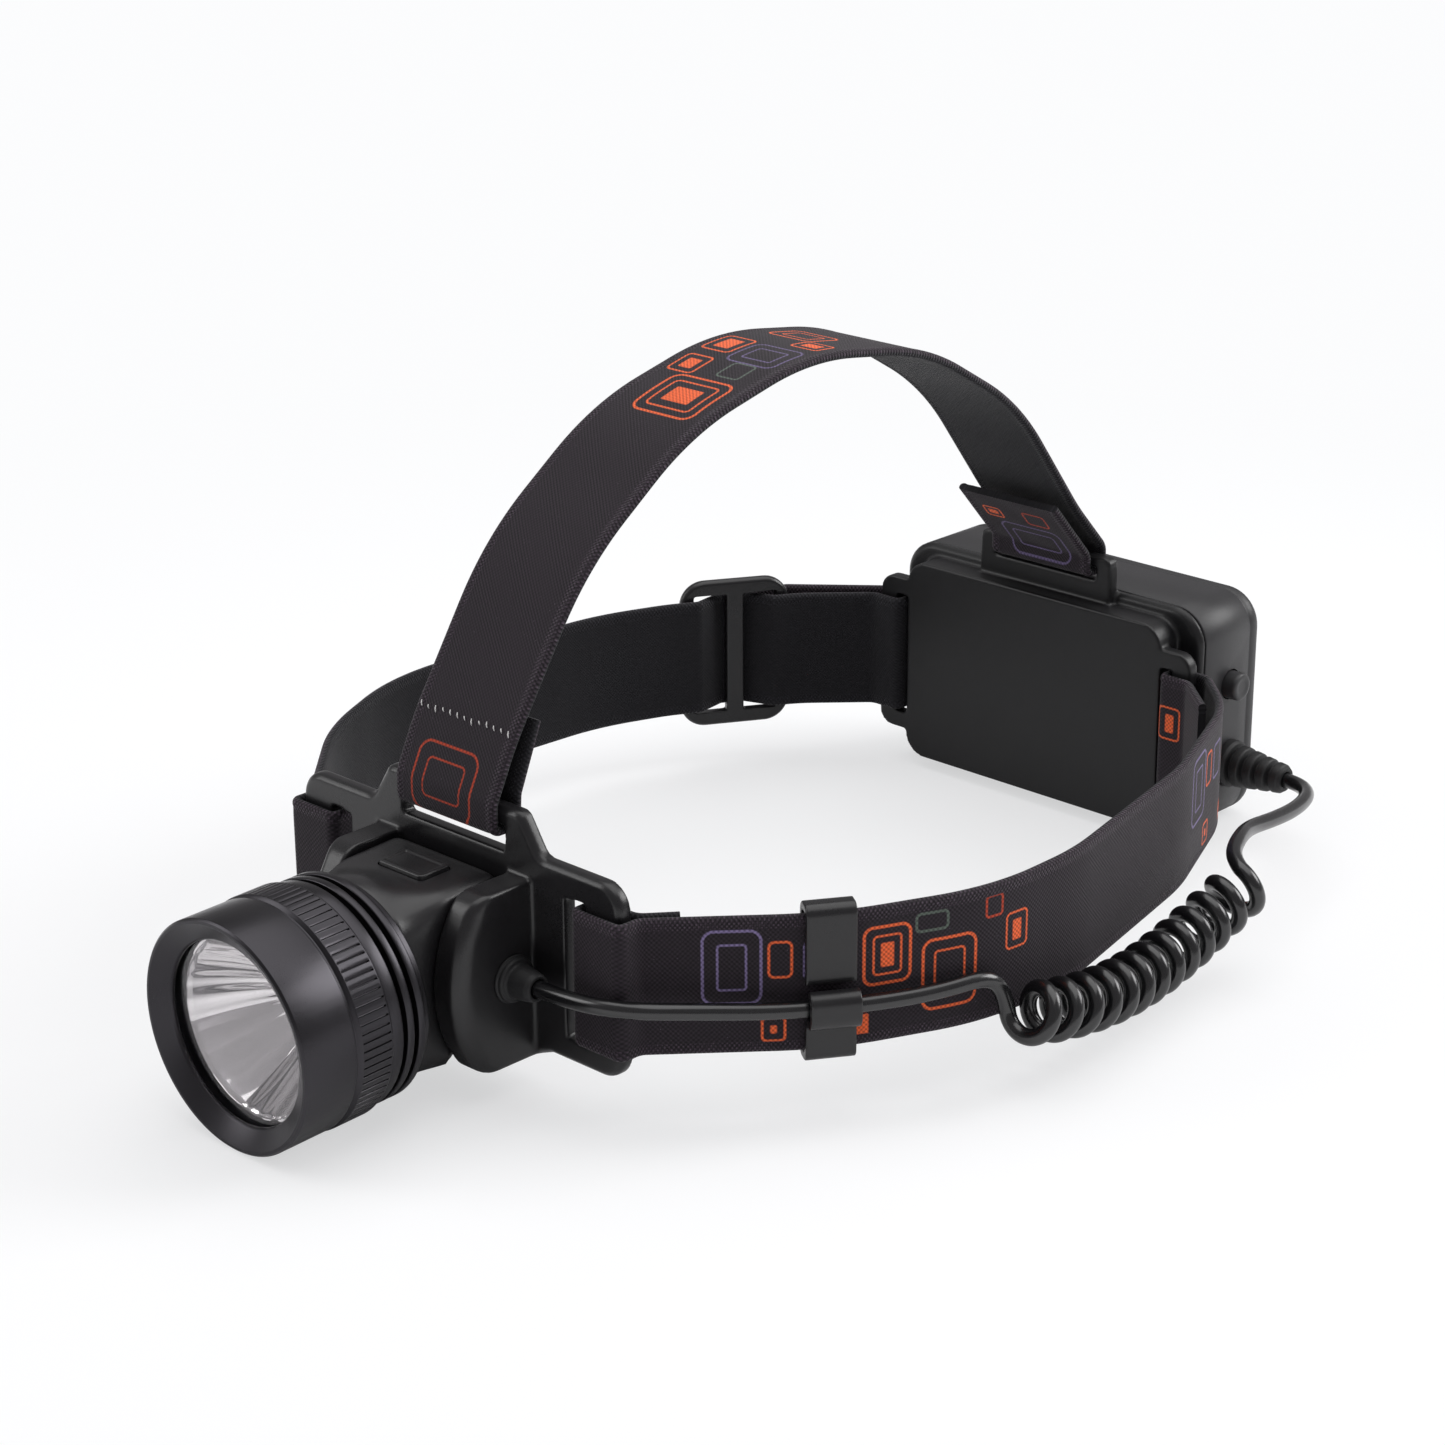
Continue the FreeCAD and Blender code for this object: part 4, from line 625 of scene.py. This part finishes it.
def soften(name, node, voxel, passes, material, turn=None, cutters=(), adders=(), late=()):
    """The CAD node's form as a moulding, with every edge and inner corner rounded."""
    mesh = bpy.data.meshes.new(name)
    rework(nodes[node].data, mesh, 1e-6, outward=False)
    turn = turn or Matrix.Identity(4)
    piece = add_object(name, mesh)
    cut(piece, cutters)
    cut(piece, adders, "UNION")
    cut(piece, late)
    piece.data.transform(turn.inverted())
    even = piece.modifiers.new("even", "REMESH")
    even.mode = "VOXEL"
    even.voxel_size = voxel * MM
    soft = piece.modifiers.new("soft", "SMOOTH")
    soft.factor = 0.5
    soft.iterations = passes
    settle(piece)
    piece.data.transform(turn)
    smooth(piece.data)
    dress(piece, material, "frame", node)


# Cord: the front run, the coil and the tail

FRONT_ROUTE = [
    (23.0, -5.0, 22.0), (31.6, -5.0, 22.0), (43.8, -3.6, 23.2), (52.6, 6.6, 22.4),
    (60.56, 18.29, 20.9), (70.14, 32.33, 20.9), (74.6, 42.6, 20.9), (77.3, 50.2, 21.6),
    (78.3, 53.4, 19.6)]
TAIL_ROUTE = [
    (77.0, 123.4, 21.6), (74.0, 129.6, 21.8), (70.2, 138.4, 20.2), (68.6, 149.0, 18.2),
    (66.2, 160.0, 16.3), (62.8, 169.6, 15.1), (58.2, 175.4, 14.1), (53.6, 177.2, EXIT_Z),
    (49.6, 177.2, EXIT_Z)]
COIL_ROUTE = [Vector((82.8, 54.6, 15.0)), Vector((86.6, 77.3, 9.8)),
              Vector((77.2, 101.5, 6.0)), Vector((81.2, 122.0, 17.2))]
COIL_TURNS, COIL_RADIUS, PER_TURN = 12.75, 4.25, 16


def coil_point(share):
    """Point of the wire on its way round the coil's sagging middle line."""
    start, first, second, end = COIL_ROUTE
    rest = 1 - share
    middle = (start * rest ** 3 + first * (3 * rest ** 2 * share)
              + second * (3 * rest * share ** 2) + end * share ** 3)
    way = ((first - start) * rest ** 2 + (second - first) * (2 * rest * share)
           + (end - second) * share ** 2).normalized()
    outward = way.cross(Vector((0, 0, 1))).normalized()
    upward = outward.cross(way)
    angle = math.pi + TAU * COIL_TURNS * share
    return middle + outward * (COIL_RADIUS * math.cos(angle)) + upward * (COIL_RADIUS * math.sin(angle))


def make_cord():
    """One unbroken cord from the pivot bush to the box."""
    turns = int(COIL_TURNS * PER_TURN)
    route = [at(*point) for point in FRONT_ROUTE]
    route += [at(*coil_point(step / turns)) for step in range(turns + 1)]
    route += [at(*point) for point in TAIL_ROUTE]
    data = bpy.data.curves.new("coiled_cord", "CURVE")
    data.dimensions = "3D"
    data.bevel_depth = CORD_RADIUS * MM
    data.bevel_resolution = 8
    data.resolution_u = 5
    data.use_fill_caps = True
    line = data.splines.new("NURBS")
    line.points.add(len(route) - 1)
    for spot, point in zip(line.points, route):
        spot.co = (*point, 1.0)
    line.order_u = 3
    line.use_endpoint_u = True
    line.use_smooth = True
    cord = add_object("coiled_cord", data)
    dress(cord, cable, "frame", "cord")


make_cord()


# Straps: routes in plan, or seen from the side for the top strap

WING_ROUTE = [(44.9, 9.9), (40.3, 4.5), (30.9, 4.1), (30.9, -1.1), (41.7, -1.1), (41.7, 3.2)]
RIGHT_ROUTE = WING_ROUTE + [
    (63.6, 26.5), (76.4, 53.5), (76.4, 76.0), (66.6, 121.0), (53.6, 152.4), (42.0, 163.4),
    (34.5, 163.4), (34.5, 158.4), (40.9, 158.4), (50.4, 149.8)]
LEFT_ROUTE = WING_ROUTE + [
    (64.6, 27.0), (76.4, 52.0), (76.4, 75.0), (74.0, 107.0), (67.9, 122.56), (64.35, 128.24),
    (65.23, 135.51), (62.47, 139.92), (55.55, 142.32), (52.53, 147.15), (41.2, 158.4),
    (34.5, 158.4), (34.5, 163.4), (42.4, 163.4), (58.57, 149.75), (66.47, 137.11)]
FRONT_LOW, FRONT_HIGH = (-1.1, 50.3), (3.65, 60.02)
TOP_ROUTE = [
    (9.5, 62.9), (4.5, 50.9), (4.1, 45.2), (-1.1, 45.2), FRONT_LOW, FRONT_HIGH, (21.13, 87.02),
    (47.4, 105.59), (78.7, 113.06), (110.52, 108.35), (138.31, 92.14), (158.08, 66.76),
    (167.5, 56.8), (167.5, 52.0), (162.5, 52.0), (162.5, 55.8), (151.1, 68.2)]
TIGHT, BEND, EASY = 1.2, 3.2, 60.0
STRAP_STEP = 1.6
# Height over the strap's middle and share of its half thickness, from the rim inwards
SELVEDGE = ((12.5, 0.0), (12.42, 0.55), (12.1, 0.92), (11.7, 1.06), (11.3, 1.06), (10.9, 0.93))


def strap_section():
    """Height and share of the half thickness round the strap's section."""
    inner = SELVEDGE[-1][0]
    face = [(-level, share) for level, share in SELVEDGE]
    face += [(-inner + 2 * inner * step / 14, 1.0) for step in range(1, 14)]
    face += SELVEDGE[::-1]
    return face + [(level, -share) for level, share in face[-2:0:-1]]


def strap_mesh(name, route, radii, lay, outward):
    """Webbing along a route; lay gives a point from route and height, outward its face's side."""
    radius = {place: radii.get(place, EASY) for place in range(len(route))}
    line = round_line(route, radius, steps=12)
    even = [line[0]]
    for point in line[1:]:
        start = even[-1]
        parts = max(1, int((point - start).length / STRAP_STEP))
        even += [start.lerp(point, (part + 1) / parts) for part in range(parts)]
    ring = strap_section()
    count = len(ring)
    points, along = [], []
    travel = 0.0
    for place, spot in enumerate(even):
        before, after = even[max(place - 1, 0)], even[min(place + 1, len(even) - 1)]
        way = (after - before).normalized()
        side = Vector((-way.y, way.x)) * outward
        if place:
            travel += (spot - even[place - 1]).length
        along.append(travel)
        points += [lay(spot + side * (share * STRAP_THICK / 2), level) for level, share in ring]
    mesh = bpy.data.meshes.new(name)
    mesh.from_pydata([tuple(point) for point in points], [], capped(len(even), count))
    layer = mesh.uv_layers.new(name="strap")
    for face in mesh.polygons:
        outer = all(ring[vertex % count][1] >= 0 for vertex in face.vertices)
        face.material_index = 0 if outer and len(face.vertices) == 4 else 1
        for loop in face.loop_indices:
            vertex = mesh.loops[loop].vertex_index
            layer.data[loop].uv = (along[vertex // count], ring[vertex % count][0])
    rework(mesh, mesh, None)
    smooth(mesh, 50)
    return mesh, travel


def make_strap(name, node, route, radii, lay, outward, outer):
    """Strap with its printed face and a plain back."""
    mesh, travel = strap_mesh(name, route, radii, lay, outward)
    strap = new_piece(mesh, None, "frame", node)
    strap.data.materials.append(outer)
    strap.data.materials.append(plain_band)


def make_straps():
    """Both headbands and the top strap, bent tightly round their bars."""
    def beside(spot, level):
        return at(spot.x, spot.y, BAND_Z + level)

    def over(spot, level):
        return at(level, spot.x, spot.y)

    wing = {1: BEND, 2: TIGHT, 3: TIGHT, 4: TIGHT, 5: BEND}
    right = wing | {11: BEND, 12: TIGHT, 13: TIGHT, 14: BEND}
    left = wing | {11: TIGHT, 12: TIGHT, 13: TIGHT, 14: TIGHT, 16: BEND, 17: TIGHT, 18: TIGHT,
                   19: BEND, 20: BEND}
    top = {1: BEND, 2: TIGHT, 3: TIGHT, 4: BEND, 12: BEND, 13: TIGHT, 14: TIGHT, 15: BEND}
    make_strap("right_strap", "headband_right", RIGHT_ROUTE, right, beside, -1, printed_band)
    make_strap("left_strap", "headband_left", [(-across, along) for across, along in LEFT_ROUTE],
               left, beside, 1, printed_band)
    make_strap("crown_strap", "top_strap", TOP_ROUTE, top, over, 1, printed_crown)


make_straps()


# Bracket, clip and adjuster

EAR_INNER, EAR_OUTER, EDGE_ROUND = 13.8, 19.6, 0.7
EAR_OUTLINE = [(2.0, 5.6), (2.0, 38.5), (-12.2, 38.5), (-16.6, 31.0), (-18.3, PIVOT_Z),
               (-16.6, 13.0), (-12.2, 5.6)]
EAR_CORNERS = (0.01, 0.01, 5.0, 20.0, 20.0, 20.0, 5.0)
# Low and high corners; the slots reach further inwards than the solid's
SLOTS = [((27.3, -1.0, 11.6), (31.0, 4.0, 37.6)), ((-31.0, -1.0, 11.6), (-27.3, 4.0, 37.6)),
         ((-13.0, -1.0, 41.8), (13.0, 4.0, 45.0))]
PLAIN_EARS = [((12.0, -20.0, 4.0), (21.0, -0.02, 40.0)), ((-21.0, -20.0, 4.0), (-12.0, -0.02, 40.0))]
BORES = ((1, CORD_BORE), (-1, PIN_BORE))


def ear_mesh(side):
    """Pivot ear whose outer face falls away roundly to the front and crisply elsewhere."""
    outline = round_line(EAR_OUTLINE, EAR_CORNERS, 6, closed=True)
    ways = [(after - before).normalized()
            for before, after in zip(outline[-1:] + outline[:-1], outline[1:] + outline[:1])]
    sections = []
    for step in range(14):
        angle = math.pi / 2 * max(step - 1, 0) / 12
        section = []
        for spot, way in zip(outline, ways):
            normal = Vector((way.y, -way.x))
            ahead = min(max(-normal.x, 0.0), 1.0)
            reach = EDGE_ROUND + 3.0 * ahead if spot.x < 1.5 else 0.0
            depth = (EDGE_ROUND + 1.6 * ahead) * (1 - math.sin(angle))
            inset = reach * (1 - math.cos(angle))
            section.append(at(side * (EAR_OUTER - depth if step else EAR_INNER),
                              spot.x - normal.x * inset, spot.y - normal.y * inset))
        sections.append(section)
    return loft("ear", sections, None)


def make_bracket():
    """Plate, wings and ears as one moulding, with its slots and the bores of the pivots."""
    cutters = [block_mesh("slot", low, high, 0.6, PLATE) for low, high in SLOTS]
    cutters += [block_mesh("plain_ear", low, high, 0.01, PLATE) for low, high in PLAIN_EARS]
    bores = [cylinder("bore", at(side * 10, PIVOT_Y, PIVOT_Z), at(side * 24, PIVOT_Y, PIVOT_Z),
                      radius) for side, radius in BORES]
    soften("bracket_shell", "front_bracket", 0.34, 8, black_plastic, cutters=cutters,
           adders=[ear_mesh(1), ear_mesh(-1)], late=bores)


def on_band(across, along, *way):
    """Frame of a piece on the band, with its X axis along the band."""
    return Matrix.Translation(at(across, along, BAND_Z)) @ Matrix.Rotation(math.atan2(*way), 4, "Z")


def make_band_pieces():
    """Cord clip on the right and three-bar adjuster on the left."""
    clip = on_band(62.66, 27.14, 0.8258, 0.5640)
    leaf_end = block_mesh("leaf_end", (-4.4, -2.5, 0.2), (4.4, -1.15, 1.6), 0.01, clip)
    soften("band_clip", "cord_clip", 0.2, 5, black_plastic, clip, adders=[leaf_end])
    soften("slide_buckle", "strap_adjuster", 0.24, 6, black_plastic, on_band(-61.9, 136.5, 0.848, 0.53))


def make_pivots():
    """Pivot pin on the left and the cord's hollow bush on the right."""
    pin = [(-21.2, 0.0), (-21.2, 3.9), (-20.9, 4.5), (-20.3, 4.7), (-19.62, 4.7), (-19.62, 2.5),
           (-8.8, 2.5), (-8.8, 0.0)]
    new_piece(lathe("pin_left", pin, PIVOT, 64, closed=False), black_plastic, "frame",
              "pivot_pin_left")
    bush = [(8.8, 1.3), (22.9, 1.3), (22.95, 1.62), (26.0, 1.66), (26.0, 2.3), (25.0, 2.65),
            (22.6, 3.0), (21.5, 3.05), (21.2, 3.3), (21.1, 3.75), (20.75, 4.0), (20.2, 4.0),
            (20.1, 4.3), (19.63, 4.35), (19.63, 3.3), (8.8, 3.3)]
    new_piece(lathe("cord_exit", round_line(bush, 0.3, 4), PIVOT, 72), soft_rubber, "frame",
              "cord_bush")


make_bracket()
make_band_pieces()
make_pivots()


# Tilting lamp: profiles run forwards from the pivot

HOUSING_HALF, HOUSING_TOP, HOUSING_LOW, HOUSING_BACK = 13.5, 16.4, -15.9, -4.0
BEVEL_TOP, BLEND_START, BLEND_LENGTH, COLLAR_RADIUS = -2.2, 7.5, 9.5, 18.5
BOX_POWER, RING_POWER = 11, 14
BACK_ROUNDING = [(-4.0, 1.5), (-3.86, 0.95), (-3.5, 0.45), (-3.0, 0.12), (-2.5, 0.0)]
FRONT_ROUNDING = [(16.6, 0.0), (17.4, 0.0), (18.1, 0.0), (18.28, 0.15)]
KEY_HALF, KEY_DEEP, KEY_MIDDLE = 5.7, 3.45, -3.65
KEY_RIM = [(15.0, 0.0), (16.9, 0.0), (17.1, 0.08), (17.18, 0.22), (17.2, 0.4), (17.2, 0.85),
           (17.12, 1.0), (17.0, 1.12), (16.96, 1.3)]
KNURLS, KNURL_CREST, KNURL_FLOOR = 84, 21.0, 20.9
KNURL_ENDS = (28.35, 28.5, 34.2, 34.35)
# Share of a knurl's pitch and depth below its crest
KNURL = ((0.0, 0.0), (0.36, 0.0), (0.72, 0.0), (0.745, 0.10), (0.77, 0.34), (0.84, 0.38),
         (0.91, 0.34), (0.935, 0.10))


def body_section(forward, low, blend, inset):
    """Section of the housing: a soft rectangle that turns into the collar's clipped circle."""
    middle, reach = (HOUSING_TOP + low) / 2, (HOUSING_TOP - low) / 2 - inset
    wide = HOUSING_HALF - inset
    section = []
    for angle in circle(120):
        across, rise = abs(math.cos(angle)), abs(math.sin(angle))
        box = ((across / wide) ** BOX_POWER + (rise / reach) ** BOX_POWER) ** (-1 / BOX_POWER)
        ring = ((across / wide) ** RING_POWER
                + (1 / (COLLAR_RADIUS - inset)) ** RING_POWER) ** (-1 / RING_POWER)
        radius = box * (1 - blend) + ring * blend
        section.append(on_lamp(radius * math.cos(angle), -forward,
                               middle * (1 - blend) + radius * math.sin(angle)))
    return section


def make_housing():
    """Lamp body with the wells of the key and its switch, the bores and its cavity."""
    stations = BACK_ROUNDING + [(-2.5 + 18.0 * step / 22, 0.0) for step in range(1, 23)]
    sections = []
    for forward, inset in stations + FRONT_ROUNDING:
        low = max(HOUSING_LOW, BEVEL_TOP - (forward - HOUSING_BACK))
        share = min(max((forward - BLEND_START) / BLEND_LENGTH, 0.0), 1.0)
        sections.append(body_section(forward, low, share * share * (3 - 2 * share), inset))
    piece = new_piece(loft("lamp_body", sections, None), black_plastic, "lamp",
                      "lamp_housing")
    cutters = [block_mesh("key_well", (-5.95, -7.35, 13.8), (5.95, 0.05, 19.0), 1.2, LAMP),
               block_mesh("dome_well", (-2.5, -6.15, 12.9), (2.5, -1.15, 15.0), 0.3, LAMP)]
    cutters += [cylinder("bore", on_lamp(side * 8.4, 0, 0), on_lamp(side * 16, 0, 0), radius)
                for side, radius in BORES]
    cutters.append(block_mesh("cavity", (-9.5, -20.0, -9.0), (9.5, -1.3, 12.0), 0.3, LAMP))
    cut(piece, cutters)
    smooth(piece.data, 42)


def make_key():
    """Switch tile: a bare plate with a low rim round a sunk field."""
    sections = []
    for level, inset in KEY_RIM:
        outline = rounded_rect(KEY_HALF - inset, KEY_DEEP - inset, max(1.0 - inset, 0.25), 6)
        sections.append([on_lamp(x, y + KEY_MIDDLE, level) for x, y in outline])
    new_piece(loft("switch_tile", sections, 40), black_plastic, "switch_key", "switch_key")


def make_barrel():
    """Barrel with its collar, two cooling fins and spigot."""
    profile = [
        (18.3, 2.0), (18.3, 18.9), (20.3, 18.9), (20.3, 20.4), (21.8, 20.4), (21.8, 18.9),
        (22.75, 18.9), (22.75, 20.4), (24.25, 20.4), (24.25, 18.9), (25.2, 18.9), (25.2, 20.4),
        (27.88, 20.4), (27.88, 18.7), (38.8, 18.7), (38.8, 17.2), (25.25, 17.2), (25.25, 2.0)]
    new_piece(lathe("heat_sink", round_line(profile, 0.28, 3), "lamp", 224, 40), metal, "lamp",
              "lamp_barrel")


def make_bezel():
    """Bezel ring with straight knurls and a funnel to the window."""
    line = round_line([
        (27.92, 18.8), (27.92, 20.9), (28.2, 21.0), (34.5, 21.0), (34.8, 20.7), (35.1, 20.35),
        (35.45, 20.35), (35.75, 20.8), (46.1, 20.85), (46.5, 20.45), (46.5, 19.95),
        (44.55, 16.75), (44.2, 16.5), (43.62, 16.5), (43.62, 18.8)], 0.16, 3)
    dense = []
    for first, second in zip(line, line[1:] + line[:1]):
        dense.append(first)
        if min(first.y, second.y) > KNURL_FLOOR and second.x - first.x > 2.0:
            dense += [(forward, KNURL_CREST) for forward in KNURL_ENDS]
    rings = []
    for knurl in range(KNURLS):
        for share, depth in KNURL:
            profile = []
            for forward, radius in dense:
                sunk = KNURL_ENDS[0] < forward < KNURL_ENDS[-1] and radius > KNURL_FLOOR
                profile.append((forward, radius - depth if sunk else radius))
            rings.append((TAU * (knurl + share) / KNURLS, profile))
    new_piece(turned("bezel", rings, "lamp", 32), metal, "lamp", "bezel_ring")


def make_optics():
    """Window, mirror cup and the light chip with its dome."""
    glass = round_line([(41.9, 0.0), (41.9, 18.6), (43.6, 18.6), (43.6, 0.0)], 0.25, 3)
    new_piece(lathe("window", glass, "lamp", 128, 40, closed=False), pane, "lamp", "lens")
    foot, head, hole, mouth = 27.1, 41.2, 4.0, 15.9
    inside = []
    for step in range(33):
        radius = hole + (mouth - hole) * step / 32
        share = (radius ** 2 - hole ** 2) / (mouth ** 2 - hole ** 2)
        inside.append((foot + (head - foot) * share, radius))
    outside = [(forward, radius + 1.0) for forward, radius in inside]
    profile = inside + [(41.25, 15.96), (41.6, 16.1), (41.7, 16.4), (41.7, 17.0), (38.9, 17.0)]
    new_piece(lathe("mirror_cup", profile + outside[-8::-1], "lamp", 192, 40), silver, "lamp",
              "reflector")
    chip = block_mesh("chip_base", (-2.5, -2.5, 26.8), (2.5, 2.5, 27.7), 0.35,
                      LAMP @ Matrix.Rotation(math.radians(90), 4, "X"))
    new_piece(chip, white_board, "lamp", "led_chip")
    dome = [(27.7, 0.0), (27.7, 1.75), (27.82, 1.9)]
    for step in range(1, 12):
        angle = math.pi / 2 * step / 12
        dome.append((27.82 + 1.35 * math.sin(angle), 1.9 * math.cos(angle)))
    dome.append((29.17, 0.0))
    new_piece(lathe("chip_dome", dome, "lamp", 48, 40, closed=False), yellow, "lamp", None)


make_housing()
make_key()
make_barrel()
make_bezel()
make_optics()


# Battery box

BOX_ROUNDING = 2.5
# Inset and depth from the back: a groove, the seam's edge and the hollow
BOX_STATIONS = [(0.0, 3.6), (0.14, 3.85), (0.14, 4.15), (0.0, 4.4), (0.0, 19.0), (0.12, 19.17),
                (0.3, 19.24), (2.0, 19.24), (2.02, 19.1), (2.02, 2.0)]


def make_case():
    """Battery case, open to the front, with the holes of the button and the sleeve."""
    stations = []
    for step in range(9):
        angle = math.pi / 2 * step / 8
        stations.append((BOX_ROUNDING * (1 - math.sin(angle)), BOX_ROUNDING * (1 - math.cos(angle))))
    sections = []
    for inset, depth in stations + BOX_STATIONS:
        outline = rounded_rect(BOX_HALF - inset, BOX_MIDDLE - inset, BOX_CORNER - inset, 12)
        sections.append([at(x, BOX_BACK - depth, BOX_MIDDLE + z) for x, z in outline])
    piece = new_piece(loft("case_shell", sections, 38), painted_lit_case_plastic, "frame",
                      "battery_case")
    cut(piece, [cylinder("hole", at(35.0, along, rise), at(40.0, along, rise), radius)
                for along, rise, radius in ((BUTTON_Y, BUTTON_Z, 3.2), (EXIT_Y, EXIT_Z, 2.6))])
    smooth(piece.data, 38)


def make_box_fittings():
    """Power button and the ribbed sleeve of the cord."""
    button = [(-3.3, 0.0), (-3.3, 4.0), (-2.02, 4.0), (-2.02, 2.9), (2.2, 2.9), (2.62, 2.82),
              (2.88, 2.58), (2.98, 2.2), (3.0, 1.9), (2.86, 1.5), (2.8, 0.9), (2.8, 0.0)]
    mesh = lathe("round_button", button, at(BOX_HALF, BUTTON_Y, BUTTON_Z), 64, 40, closed=False)
    new_piece(mesh, painted_lit_case_plastic, "power_button", "power_button")
    sleeve = [(-3.5, 0.0), (-3.5, 2.5), (0.02, 2.5), (0.02, 5.0), (1.4, 4.9), (2.0, 4.5)]
    for rib in range(4):
        start, crest = 2.0 + rib * 2.95, 4.5 - 0.4 * rib
        sleeve += [(start + 0.2, crest - 1.3), (start + 0.85, crest - 1.35),
                   (start + 1.05, crest - 0.1), (start + 2.55, crest - 0.3),
                   (start + 2.8, crest - 0.6)]
    sleeve += [(14.2, 2.45), (14.2, 1.62), (11.2, 1.6), (11.2, 0.0)]
    mesh = lathe("ribbed_sleeve", round_line(sleeve, 0.22, 3), at(BOX_HALF, EXIT_Y, EXIT_Z), 72,
                 40, closed=False)
    new_piece(mesh, soft_rubber, "frame", "strain_relief")


make_case()
soften("cover_shell", "battery_cover", 0.36, 6, painted_shade_cover_plastic)
make_box_fittings()


# Sewing: each stitch's rings have a share of its length and a radius

STITCHES, ROW_HALF, ROW_PLACE, ROW_HEIGHT = 13, 11.0, 12.4, 0.74
STITCH_RINGS = ((0.0, 0.04), (0.12, 0.09), (0.5, 0.125), (0.88, 0.09), (1.0, 0.04))


def make_stitches():
    """White stitches that sew the flap to the top strap at the front."""
    points, faces = [], []
    start, end = Vector(FRONT_LOW), Vector(FRONT_HIGH)
    way = (end - start).normalized()
    out = Vector((-way.y, way.x))
    spot = start + way * ROW_PLACE + out * ROW_HEIGHT
    for place in range(STITCHES):
        across = -ROW_HALF + 2 * ROW_HALF * place / (STITCHES - 1)
        drift = 0.16 * math.sin(5.1 * place) + 0.1 * math.sin(2.3 * place + 1.0)
        reach = 0.46 + 0.14 * math.sin(3.7 * place + 0.6)
        low, high = spot + way * (drift - reach), spot + way * (drift + reach)
        base = len(points)
        for share, size in STITCH_RINGS:
            centre = low.lerp(high, share) + out * (0.14 * math.sin(math.pi * share))
            for angle in circle(8):
                cross = centre + out * (math.sin(angle) * size)
                points.append(at(across + 0.5 * (0.5 - share) + math.cos(angle) * size, cross.x, cross.y))
        faces += [tuple(base + corner for corner in face) for face in capped(len(STITCH_RINGS), 8)]
    new_piece(raw_mesh("front_stitches", points, faces), stitch_thread, "frame", None)


make_stitches()


# CAD nodes that stay

for material, names in ((switch_metal, ("dome_switch", "button_switch")),
                        (green_board, ("driver_board", "charge_board")),
                        (white_board, ("led_board",)), (soft_rubber, ("lens_seal", "box_seal")),
                        (wrap, ("battery_cell_rear", "battery_cell_front"))):
    for name in names:
        nodes[name].data.materials.clear()
        nodes[name].data.materials.append(material)


# Floor and light

WHITE = (0.972, 0.976, 0.985)
FLOOR_HALF, FLOOR_DROP = 6.0, 0.0002
FADE_START, FADE_END, FLOOR_GLOW = 0.12, 0.42, 0.62


def make_floor():
    """Pale floor that looks white far off and keeps the lamp's soft shadow."""
    paint = Paint("pale_floor")
    paint.set(Base_Color=paint.mix(paint.noise(3.0), (0.90, 0.905, 0.912),
                                   (0.915, 0.918, 0.925)),
              Roughness=0.75, Specular_IOR_Level=0.15)
    glow = paint.node("Emission", {"Color": WHITE})
    seen = paint.node("LightPath").outputs["Is Camera Ray"]
    away = paint.node("VectorMath", {0: paint.spots()}, operation="LENGTH").outputs["Value"]
    share = paint.times(seen, paint.span(away, FADE_START, FADE_END, FLOOR_GLOW, 1.0, "SMOOTHSTEP"))
    paint.show(paint.node("MixShader", {0: share, 1: paint.shader.outputs[0], 2: glow.outputs[0]}))
    mesh = bpy.data.meshes.new("floor")
    corners = [(x * FLOOR_HALF, y * FLOOR_HALF, 0) for x, y in ((-1, -1), (1, -1), (1, 1), (-1, 1))]
    mesh.from_pydata(corners, [], [(0, 1, 2, 3)])
    mesh.materials.append(paint.material)
    floor = add_object("floor", mesh)
    floor.location.z = -FLOOR_DROP


def soft_box(name, place, target, width, height, power):
    """Rectangular area light that faces a target."""
    data = bpy.data.lights.new(name, "AREA")
    data.shape = "RECTANGLE"
    data.size, data.size_y = width, height
    data.energy = power
    lamp = add_object(name, data)
    lamp.location = place
    lamp.rotation_euler = (Vector(target) - Vector(place)).to_track_quat("-Z", "Y").to_euler()


def make_light():
    """Dim world that the camera sees as white, and three soft boxes."""
    scene.world = bpy.data.worlds.new("studio")
    scene.world.use_nodes = True
    studio = Tree(scene.world.node_tree)
    dim = studio.node("Background", {"Color": (1.0, 0.975, 1.0), "Strength": 0.3})
    white = studio.node("Background", {"Color": WHITE, "Strength": 1.0})
    seen = studio.node("LightPath").outputs["Is Camera Ray"]
    blend = studio.node("MixShader", {0: seen, 1: dim.outputs[0], 2: white.outputs[0]})
    studio.node("OutputWorld", {0: blend.outputs[0]})
    soft_box("overhead", (0.0, 0.15, 1.25), (0, 0.02, 0), 1.5, 1.5, 12.4)
    soft_box("left_front", (-0.95, -0.85, 0.7), (0, 0, 0.03), 0.6, 0.9, 5.4)
    soft_box("right_back", (0.70, 0.92, 0.74), (0, 0.0, 0.03), 0.8, 0.6, 10.0)


make_floor()
make_light()
scene.view_settings.view_transform = "Standard"
